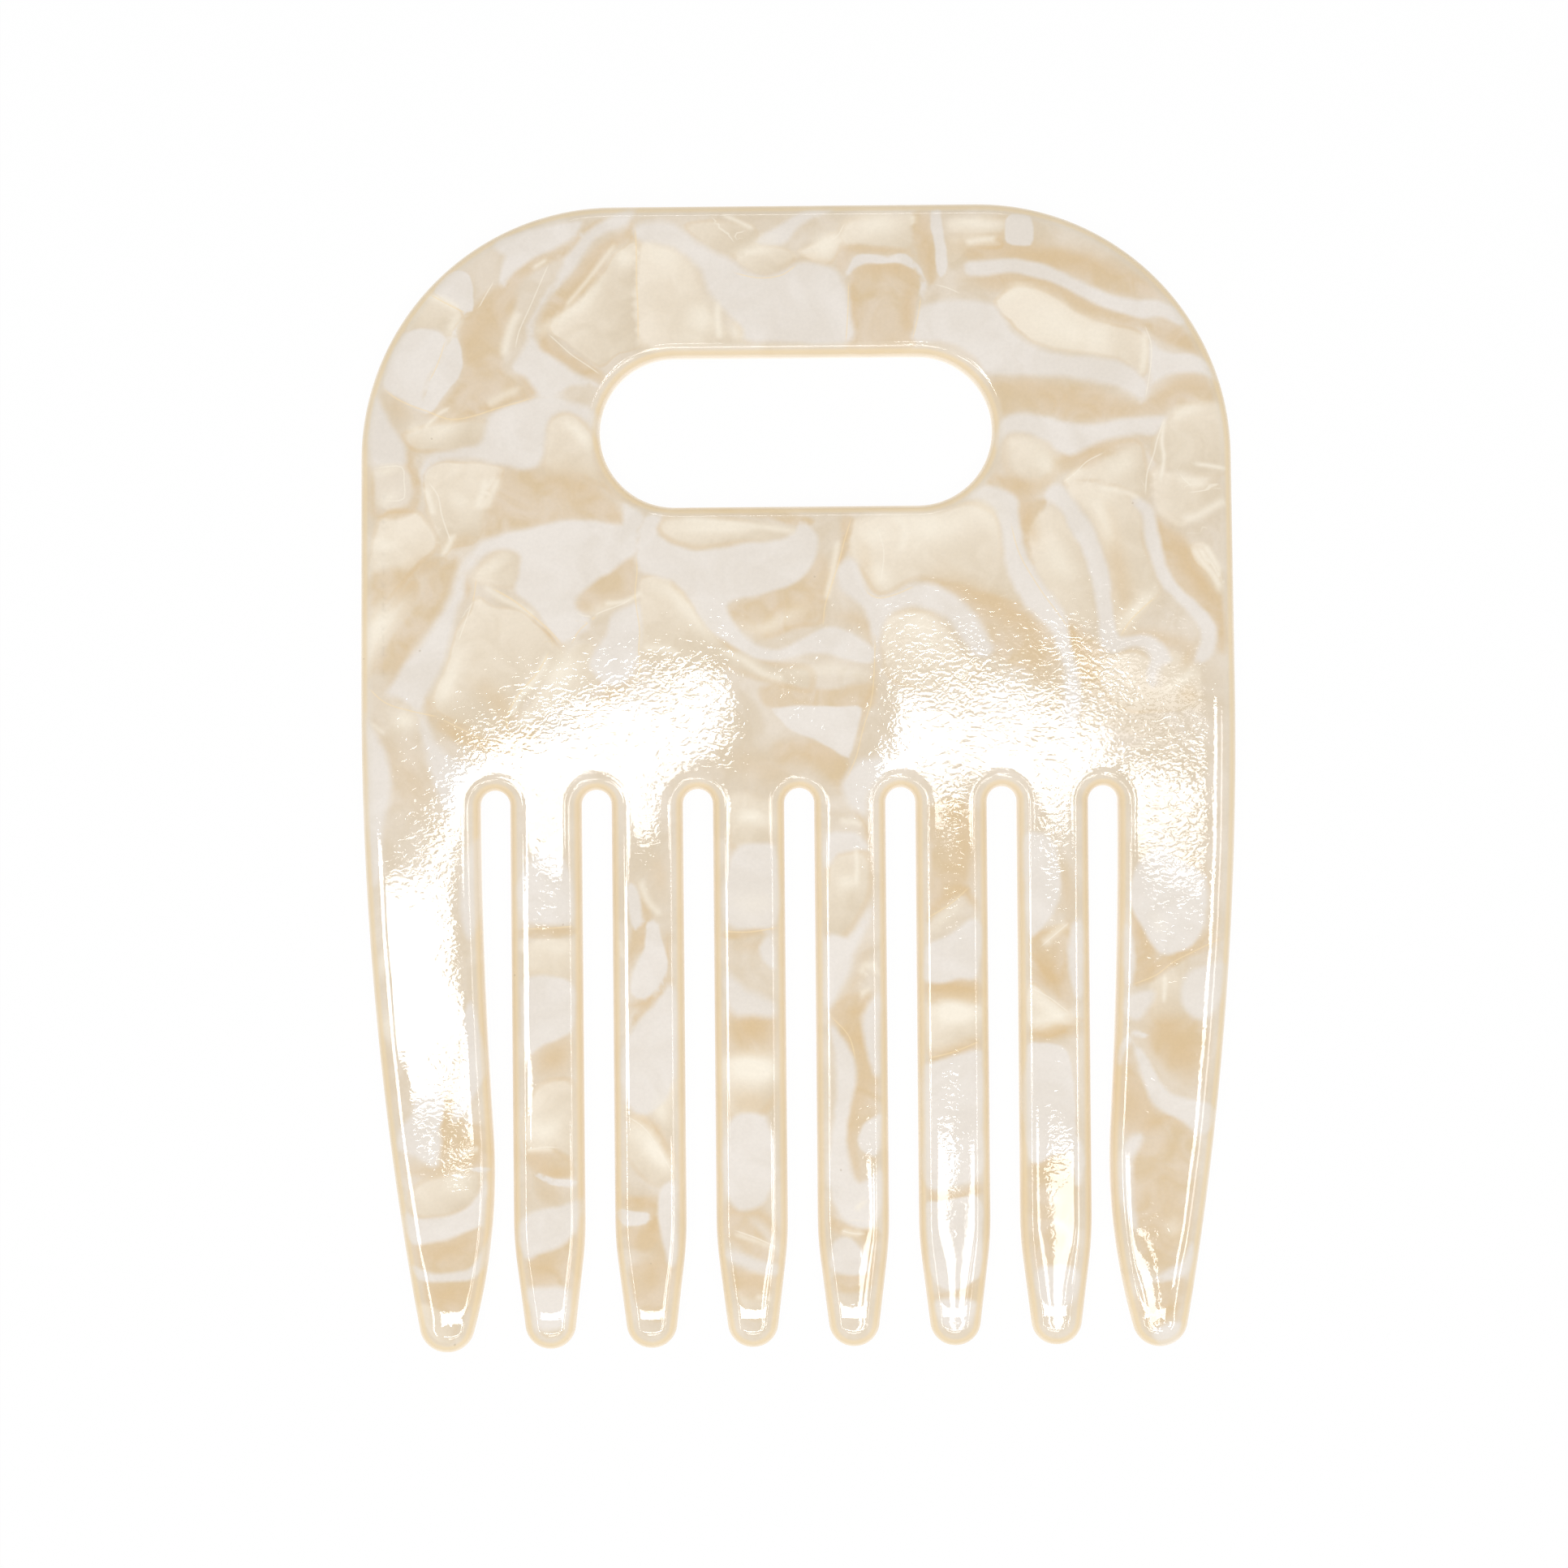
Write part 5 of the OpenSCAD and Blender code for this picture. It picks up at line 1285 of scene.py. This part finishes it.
class AcetateLook(bpy.types.PropertyGroup):
    """Colours and finish of the acetate."""

    base: paint("Ground, dark", "Darker ground of the sheet", 0.735, 0.620, 0.465)
    base_light: paint("Ground, light", "Lighter ground of the sheet", 0.825, 0.730, 0.610)
    honey: paint("Honey, dark", "Darker part of the clear honey places", 0.715, 0.548, 0.330)
    honey_light: paint("Honey, light", "Lighter part of the clear honey places", 0.790, 0.655, 0.500)
    # Amber along the folds: partly the sheet's own amber, partly painted shade
    shade: paint("Shade", "Amber along the folds", 0.725, 0.530, 0.295)
    white: paint("White, dark", "Warmer part of the white flakes", 0.812, 0.745, 0.665)
    white_light: paint("White, light", "Cooler part of the white flakes", 0.868, 0.808, 0.742)
    # Painted sheen: satin flakes painted darker as turned away from the light, lighter as turned to it
    satin: paint("Satin, dark", "Satin flakes turned away from the light", 0.735, 0.620, 0.460)
    satin_painted_sheen: paint("Satin, light", "Satin flakes turned to the light", 0.925, 0.825, 0.680)
    # Painted highlight: the colour of the glints on the satin's folds
    painted_glint: paint("Glint", "Brightest folds of the satin", 0.970, 0.890, 0.750)
    # Painted light: a lighter colour in the rounded edges, for light gathered in the clear sheet
    edge: paint("Edge", "Light gathered in the rounded edges", 0.870, 0.785, 0.650)
    # Painted glow: amber at the rim for light passing through the sheet's edge; also the dark cracks' colour
    rim: paint("Rim", "Amber glow along the edges", 0.940, 0.740, 0.445)
    # Painted light: emission at the very rim, for light leaving the sheet
    painted_rim_light: paint("Leaving light", "Light that leaves the sheet at its rim", 0.160, 0.148, 0.130)
    dust: paint("Dust", "Specks of dust", 0.42, 0.33, 0.22)
    # Share of the fold noise in the satin's painted sheen
    sheen_play: number("Fold tone", "Share of the folds in the brightness of the satin flakes", 0.35)
    # Cover of the amber folds, partly painted shade
    shades: number("Shades", "Cover of the amber shades along the folds", 0.9)
    # Covers of the painted highlights: soft glints, streaks and bright cracks
    glints: number("Glints", "Cover of the soft glints", 0.95)
    glint_veil: number("Glint veil", "How far a white flake hides the soft glints", 0.6)
    streaks: number("Streaks", "Cover of the narrow glints", 0.8)
    crack_glint: number("Bright cracks", "Cover of the bright cracks", 0.55)
    crack_dark: number("Dark cracks", "Cover of the dark cracks", 0.5)
    mottle: number("Mottle", "Difference in brightness of the fine mottle", 0.10)
    mottle_low: number("Mottle, low", "Brightness at the dark end of the mottle", 0.95)
    # Cover of the painted amber glow at the rim, and how far white hides it
    rim_cover: number("Rim cover", "Cover of the amber glow at the edges", 0.62)
    rim_veil: number("Rim veil", "How far a white flake hides that glow", 0.3)
    ior: number("Refraction", "Index of refraction of the acetate", 1.5)
    peel: number("Orange peel", "Height of the soft orange peel, in thousandths of a millimetre", 2.0)
    scratch: number("Scratches", "Height of the hair scratches, in the same unit", 0.2)
    roughness: number("Roughness", "Roughness of the polish", 0.015)
    smear: number("Smear", "More roughness where hands have dulled it", 0.02)


class StudioLook(bpy.types.PropertyGroup):
    """Camera, lamps and floor."""

    distance: number("Distance", "Camera above the comb's middle plane", 0.4, unit="LENGTH")
    width: number("View width", "Width that the camera sees at the comb", 0.14862, unit="LENGTH")
    aim: FloatVectorProperty(name="Aim", description="Place under the camera", size=2,
                             default=(-0.001417, -0.000564), unit="LENGTH")
    roll: number("Roll", "Turn of the camera", math.radians(-0.51), subtype="ANGLE")
    ambient: number("Ambient", "Strength of the surrounding light", 0.481)
    floor_tone: number("Floor tone", "Brightness of the floor's finish", 0.97)
    floor_seen: number("Floor seen", "Share of plain white where the floor is looked at", 0.97)
    lamp_h: number("Lamp height", "Height of the lamps", 0.6, unit="LENGTH")
    floor_w: number("Floor", "Width of the floor", 3.0, unit="LENGTH")
    floor_drop: number("Floor drop", "Gap that keeps the floor clear of the comb", 0.00005,
                       precision=5, unit="LENGTH")


def node_group(name, inputs, outputs):
    """A new shader node group with its input and output nodes. Each socket is given as name, kind and
    default, or name and kind."""
    group = bpy.data.node_groups.new(name, "ShaderNodeTree")
    for label, kind, default in inputs:
        socket = group.interface.new_socket(label, in_out="INPUT", socket_type="NodeSocket" + kind)
        socket.default_value = default
    for label, kind in outputs:
        group.interface.new_socket(label, in_out="OUTPUT", socket_type="NodeSocket" + kind)
    return group, group.nodes.new("NodeGroupInput"), group.nodes.new("NodeGroupOutput")


def put(tree, target, source):
    """Links source to the target socket if it is a socket, or else sets it as the value."""
    if isinstance(source, bpy.types.NodeSocket):
        tree.links.new(source, target)
    elif source is not None:
        target.default_value = source


def calc(tree, operation, a, b=None, c=None, clamp=False):
    """A Math node's result."""
    node = tree.nodes.new("ShaderNodeMath")
    node.operation = operation
    node.use_clamp = clamp
    for socket, value in zip(node.inputs, (a, b, c)):
        put(tree, socket, value)
    return node.outputs[0]


def times(tree, a, b, clamp=False):
    """The product of a and b."""
    return calc(tree, "MULTIPLY", a, b, clamp=clamp)


def blend(tree, share, a, b):
    """A colour between a and b."""
    node = tree.nodes.new("ShaderNodeMix")
    node.data_type = "RGBA"
    node.clamp_factor = True
    put(tree, node.inputs["Factor"], share)
    put(tree, node.inputs[MIX_A], a)
    put(tree, node.inputs[MIX_B], b)
    return node.outputs[MIXED]


def soft(tree, value, name):
    """The named soft step of a value."""
    node = tree.nodes.new("ShaderNodeMapRange")
    node.interpolation_type = "SMOOTHSTEP"
    put(tree, node.inputs["Value"], value)
    for label, given in zip(("From Min", "From Max", "To Min", "To Max"), STEPS[name]):
        put(tree, node.inputs[label], given)
    return node.outputs[0]


def noise(tree, place, name, cells=None):
    """The named noise, from about 0 to 1; cells, if given, takes the place of its own."""
    node = tree.nodes.new("ShaderNodeTexNoise")
    put(tree, node.inputs["Vector"], place)
    for label, given in zip(("Scale", "Detail", "Roughness", "Distortion"), NOISES[name]):
        put(tree, node.inputs[label], given)
    put(tree, node.inputs["Scale"], cells)
    return node.outputs["Fac"]


def stretched(tree, place, turn, scale):
    """Places turned about the upright axis, then scaled."""
    node = tree.nodes.new("ShaderNodeMapping")
    node.inputs["Rotation"].default_value = (0, 0, turn)
    node.inputs["Scale"].default_value = scale
    put(tree, node.inputs["Vector"], place)
    return node.outputs[0]


def field(tree, name):
    """A value that the mesh carries on its points."""
    node = tree.nodes.new("ShaderNodeAttribute")
    node.attribute_name = name
    return node.outputs["Fac"]


def set_in(tree, group, **values):
    """A node group set into the tree, with its inputs given by name; its outputs come back."""
    node = tree.nodes.new("ShaderNodeGroup")
    node.node_tree = group
    for label, value in values.items():
        put(tree, node.inputs[label], value)
    return node.outputs


def opaque(rgb):
    """A colour with full alpha."""
    return (*rgb, 1)


def bare_material(name):
    """A new material whose tree holds only its output, with that tree and the output's surface."""
    material = bpy.data.materials.new(name)
    material.use_nodes = True
    tree = material.node_tree
    tree.nodes.clear()
    return material, tree, tree.nodes.new("ShaderNodeOutputMaterial").inputs["Surface"]


def flake_group():
    """One kind of flake laid over a colour: its field from the rim, frayed by noise, gives the cover."""
    group, given, made = node_group("Flake over", [
        ("Under", "Color", (1, 1, 1, 1)), ("Over", "Color", (1, 1, 1, 1)), ("Field", "Float", 0.0),
        ("Cover", "Float", 1.0), ("Fray", "Float", 0.3), ("Place", "Vector", (0, 0, 0)),
        ("Cells", "Float", 900.0)], [("Color", "Color"), ("Mask", "Float")])
    have = given.outputs
    grain = calc(group, "SUBTRACT", noise(group, have["Place"], "fray", have["Cells"]), 0.5)
    frayed = calc(group, "MULTIPLY_ADD", grain, have["Fray"], have["Field"])
    mask = times(group, soft(group, frayed, "flake"), have["Cover"])
    put(group, made.inputs["Color"], blend(group, mask, have["Under"], have["Over"]))
    put(group, made.inputs["Mask"], mask)
    return group


def polish_group():
    """Normal of the polished skin: a fine foil-like crinkle in patches, stronger to the right and weaker
    towards the tips, with a soft orange peel and sparse hair scratches."""
    group, given, made = node_group("Polished skin", [
        ("Place", "Vector", (0, 0, 0)), ("Crinkle", "Float", 1.0), ("Peel", "Float", 1.0),
        ("Scratch", "Float", 1.0)], [("Normal", "Vector")])
    have = given.outputs
    place = have["Place"]
    crinkle = noise(group, stretched(group, place, *GRAIN), "crinkle")
    peel = noise(group, place, "peel")
    scratch = soft(group, noise(group, stretched(group, place, *SCRATCH_RUN), "scratch"), "scratch")
    axes = group.nodes.new("ShaderNodeSeparateXYZ")
    put(group, axes.inputs[0], place)
    patch = soft(group, noise(group, place, "worn"), "worn")
    patch = times(group, patch, soft(group, axes.outputs["X"], "to_right"))
    patch = times(group, patch, soft(group, axes.outputs["Y"], "to_tips"))
    height = times(group, crinkle, times(group, patch, have["Crinkle"]))
    height = calc(group, "MULTIPLY_ADD", peel, have["Peel"], height)
    height = calc(group, "MULTIPLY_ADD", scratch, have["Scratch"], height)
    bump = group.nodes.new("ShaderNodeBump")
    bump.inputs["Strength"].default_value = 1.0
    bump.inputs["Distance"].default_value = RELIEF
    put(group, bump.inputs["Height"], height)
    put(group, made.inputs["Normal"], bump.outputs[0])
    return group


def marbled_colour(tree, place, look):
    """Colour inside the sheet, and where it is white: a cream ground, then satin flakes with painted
    sheen, honey places, amber folds partly painted as shade, white ribbons, painted glints and streaks,
    and cracks, the bright ones painted as glints, laid over it, with a fine mottle."""
    group = flake_group()

    def over(under, kind, dark, light, share):
        """The colour with one kind of flake laid over it, and that flake's mask."""
        cover, fray, cells = FLAKES[kind]
        flake = blend(tree, share, opaque(dark), opaque(light))
        laid = set_in(tree, group, Under=under, Over=flake, Field=field(tree, kind), Cover=cover,
                      Fray=fray, Place=place, Cells=cells)
        return laid["Color"], laid["Mask"]

    cloud = soft(tree, noise(tree, place, "cloud"), "cloud")
    fold = soft(tree, noise(tree, place, "fold"), "fold")
    # Painted sheen: the satin's tone, with the fold noise playing in it
    tone = calc(tree, "SUBTRACT", fold, 0.5)
    tone = calc(tree, "MULTIPLY_ADD", tone, look.sheen_play, field(tree, "tone"), clamp=True)
    colour = blend(tree, cloud, opaque(look.base), opaque(look.base_light))
    colour, _ = over(colour, "satin", look.satin, look.satin_painted_sheen, tone)
    colour, _ = over(colour, "honey", look.honey, look.honey_light, fold)
    # Amber folds at the satin flakes' rims and the shade lines: partly the sheet's own amber, partly painted
    # shade
    folds = soft(tree, calc(tree, "ABSOLUTE", field(tree, "satin")), "flake_fold")
    folds = times(tree, folds, soft(tree, noise(tree, place, "patch"), "patch"))
    shade = calc(tree, "MULTIPLY_ADD", field(tree, "shade"), look.shades, folds, clamp=True)
    colour = blend(tree, shade, colour, opaque(look.shade))
    colour, white = over(colour, "white", look.white, look.white_light, cloud)
    # Painted highlights: soft glints, narrow streaks and bright cracks in the glint colour; dark cracks are
    # amber joints
    glow = times(tree, field(tree, "glow"), calc(tree, "MULTIPLY_ADD", white, -look.glint_veil, 1.0))
    streak = field(tree, "streak")
    streak = calc(tree, "EXPONENT", times(tree, times(tree, streak, streak), -1.0))
    streak = times(tree, streak, field(tree, "streak_w"))
    crack = soft(tree, calc(tree, "ABSOLUTE", field(tree, "crack")), "crack")
    crack = times(tree, crack, field(tree, "crack_w"))
    for mark, cover, lit in ((glow, look.glints, look.painted_glint), (streak, look.streaks, look.painted_glint),
                             (crack, look.crack_glint, look.painted_glint), (crack, -look.crack_dark, look.rim)):
        colour = blend(tree, times(tree, mark, cover, clamp=True), colour, opaque(lit))
    mottled = tree.nodes.new("ShaderNodeVectorMath")
    mottled.operation = "SCALE"
    mottle = calc(tree, "MULTIPLY_ADD", noise(tree, place, "mottle"), look.mottle, look.mottle_low)
    put(tree, mottled.inputs[0], colour)
    put(tree, mottled.inputs["Scale"], mottle)
    return mottled.outputs[0], white


def acetate_material(look):
    """Marbled acetate: the colour inside the sheet, then painted light gathered in the rounded edge, a
    painted amber glow at the rim and specks of dust over it, a little painted light that leaves the
    sheet at the rim as emission, and the skin."""
    material, tree, surface = bare_material("marbled_acetate")
    shader = tree.nodes.new("ShaderNodeBsdfPrincipled")
    put(tree, surface, shader.outputs[0])
    place = tree.nodes.new("ShaderNodeTexCoord").outputs["Object"]
    depth = field(tree, "depth")
    colour, white = marbled_colour(tree, place, look)
    # Painted glow: amber at the rim, for light passing through the sheet's edge
    rim = calc(tree, "MULTIPLY_ADD", white, -look.rim_veil, look.rim_cover)
    rim = times(tree, soft(tree, depth, "edge_rim"), rim)
    rim = times(tree, rim, soft(tree, depth, "edge_wall"))
    # Painted light: a lighter colour in the rounded edge
    colour = blend(tree, soft(tree, depth, "edge_light"), colour, opaque(look.edge))
    colour = blend(tree, rim, colour, opaque(look.rim))
    colour = blend(tree, soft(tree, noise(tree, place, "dust"), "dust"), colour, opaque(look.dust))
    # Painted light: emission at the very rim, for light leaving the sheet
    painted_rim_light = blend(tree, soft(tree, depth, "edge_leaving"), (0, 0, 0, 1), opaque(look.painted_rim_light))
    smear = soft(tree, noise(tree, place, "smear"), "smear")
    skin = set_in(tree, polish_group(), Place=place, Crinkle=soft(tree, depth, "edge_crinkle"),
                  Peel=look.peel, Scratch=look.scratch)
    put(tree, shader.inputs["Base Color"], colour)
    put(tree, shader.inputs["Emission Color"], painted_rim_light)
    put(tree, shader.inputs["Roughness"], calc(tree, "MULTIPLY_ADD", smear, look.smear, look.roughness))
    put(tree, shader.inputs["Normal"], skin["Normal"])
    shader.inputs["Emission Strength"].default_value = 1.0
    shader.inputs["IOR"].default_value = look.ior
    return material


def looked_at(tree):
    """1 on rays from the camera, in a reflection or through a clear piece, 0 on rays that carry light."""
    path = tree.nodes.new("ShaderNodeLightPath")
    rays = calc(tree, "ADD", path.outputs["Is Camera Ray"], path.outputs["Is Glossy Ray"])
    return calc(tree, "ADD", rays, path.outputs["Is Transmission Ray"], clamp=True)


def backdrop_material(name, tone, seen):
    """A floor finish: a soft matt surface that keeps shadows, mixed with plain light of strength 1 where
    the camera, a reflection or a clear piece looks at it."""
    material, tree, surface = bare_material(name)
    matt = tree.nodes.new("ShaderNodeBsdfDiffuse")
    matt.inputs["Color"].default_value = (tone, tone, tone, 1)
    plain = tree.nodes.new("ShaderNodeEmission")
    mix = tree.nodes.new("ShaderNodeMixShader")
    put(tree, mix.inputs[0], times(tree, looked_at(tree), seen))
    put(tree, mix.inputs[1], matt.outputs[0])
    put(tree, mix.inputs[2], plain.outputs[0])
    put(tree, surface, mix.outputs[0])
    return material


class COMB_OT_plate(bpy.types.Operator):
    """Make the comb's plate and teeth"""

    bl_idname = "comb.plate"
    bl_label = "Plate and teeth"

    def execute(self, context):
        points, faces, fields = plate_mesh(context.scene.comb_sizes)
        mesh = bpy.data.meshes.new("comb_plate")
        mesh.from_pydata(points.tolist(), [], [row for part in faces for row in part.tolist()])
        mesh.validate()
        mesh.shade_smooth()
        for name, values in fields.items():
            layer = mesh.attributes.new(name, "FLOAT", "POINT")
            layer.data.foreach_set("value", values.astype(np.float32))
        plate = bpy.data.objects.new("comb_plate", mesh)
        context.scene.collection.objects.link(plate)
        mesh.materials.append(acetate_material(context.scene.comb_look))
        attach(plate, "root")
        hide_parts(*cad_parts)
        return {"FINISHED"}


class COMB_OT_studio(bpy.types.Operator):
    """Make the floor, the lamps and the camera"""

    bl_idname = "comb.studio"
    bl_label = "Studio"

    def execute(self, context):
        look = context.scene.comb_studio
        scene = context.scene
        half = look.floor_w / 2
        mesh = bpy.data.meshes.new("floor")
        low = -look.floor_drop
        mesh.from_pydata([(-half, -half, low), (half, -half, low), (half, half, low), (-half, half, low)],
                         [], [(0, 1, 2, 3)])
        floor = bpy.data.objects.new("floor", mesh)
        scene.collection.objects.link(floor)
        mesh.materials.append(backdrop_material("pale_floor", look.floor_tone, look.floor_seen))

        world = bpy.data.worlds.new("studio")
        scene.world = world
        world.use_nodes = True
        tree = world.node_tree
        tree.nodes.clear()
        back = tree.nodes.new("ShaderNodeBackground")
        put(tree, back.inputs["Color"], (1, 1, 1, 1))
        strength = calc(tree, "MULTIPLY_ADD", looked_at(tree), 1 - look.ambient, look.ambient)
        put(tree, back.inputs["Strength"], strength)
        put(tree, tree.nodes.new("ShaderNodeOutputWorld").inputs[0], back.outputs[0])

        for name, x, y, width, length, light, turn in LAMPS:
            data = bpy.data.lights.new(name, "AREA")
            data.shape = "RECTANGLE"
            data.size, data.size_y = width * MM, length * MM
            data.energy = light * math.pi * data.size * data.size_y
            lamp = bpy.data.objects.new(name, data)
            lamp.location = (x * MM, y * MM, look.lamp_h)
            lamp.rotation_euler = (0, 0, math.radians(turn))
            scene.collection.objects.link(lamp)

        data = bpy.data.cameras.new("camera")
        data.sensor_width = SENSOR
        data.lens = SENSOR * look.distance / look.width
        data.clip_start, data.clip_end = CLIP
        camera = bpy.data.objects.new("camera", data)
        camera.location = (look.aim[0], look.aim[1], SHEET / 2 * MM + look.distance)
        camera.rotation_euler = (0, 0, look.roll)
        scene.collection.objects.link(camera)
        scene.camera = camera
        scene.view_settings.view_transform = "Standard"
        return {"FINISHED"}


class COMB_PT_panel(bpy.types.Panel):
    """Lists the steps and the sizes"""

    bl_label = "Comb"
    bl_idname = "COMB_PT_panel"
    bl_space_type = "VIEW_3D"
    bl_region_type = "UI"
    bl_category = "Comb"

    def draw(self, context):
        layout = self.layout
        layout.operator("comb.plate")
        layout.operator("comb.studio")
        for group in (context.scene.comb_sizes, context.scene.comb_look, context.scene.comb_studio):
            box = layout.box()
            for name in group.__annotations__:
                box.prop(group, name)


CLASSES = (CombSizes, AcetateLook, StudioLook, COMB_OT_plate, COMB_OT_studio, COMB_PT_panel)


def register():
    """Registers the classes and hangs the three groups of values on the scene."""
    for cls in CLASSES:
        bpy.utils.register_class(cls)
    bpy.types.Scene.comb_sizes = PointerProperty(type=CombSizes)
    bpy.types.Scene.comb_look = PointerProperty(type=AcetateLook)
    bpy.types.Scene.comb_studio = PointerProperty(type=StudioLook)


def unregister():
    """Takes them off again, last first."""
    del bpy.types.Scene.comb_studio, bpy.types.Scene.comb_look, bpy.types.Scene.comb_sizes
    for cls in reversed(CLASSES):
        bpy.utils.unregister_class(cls)


def main():
    """Builds the comb and its studio."""
    register()
    bpy.ops.comb.plate()
    bpy.ops.comb.studio()


if __name__ == "__main__":
    main()
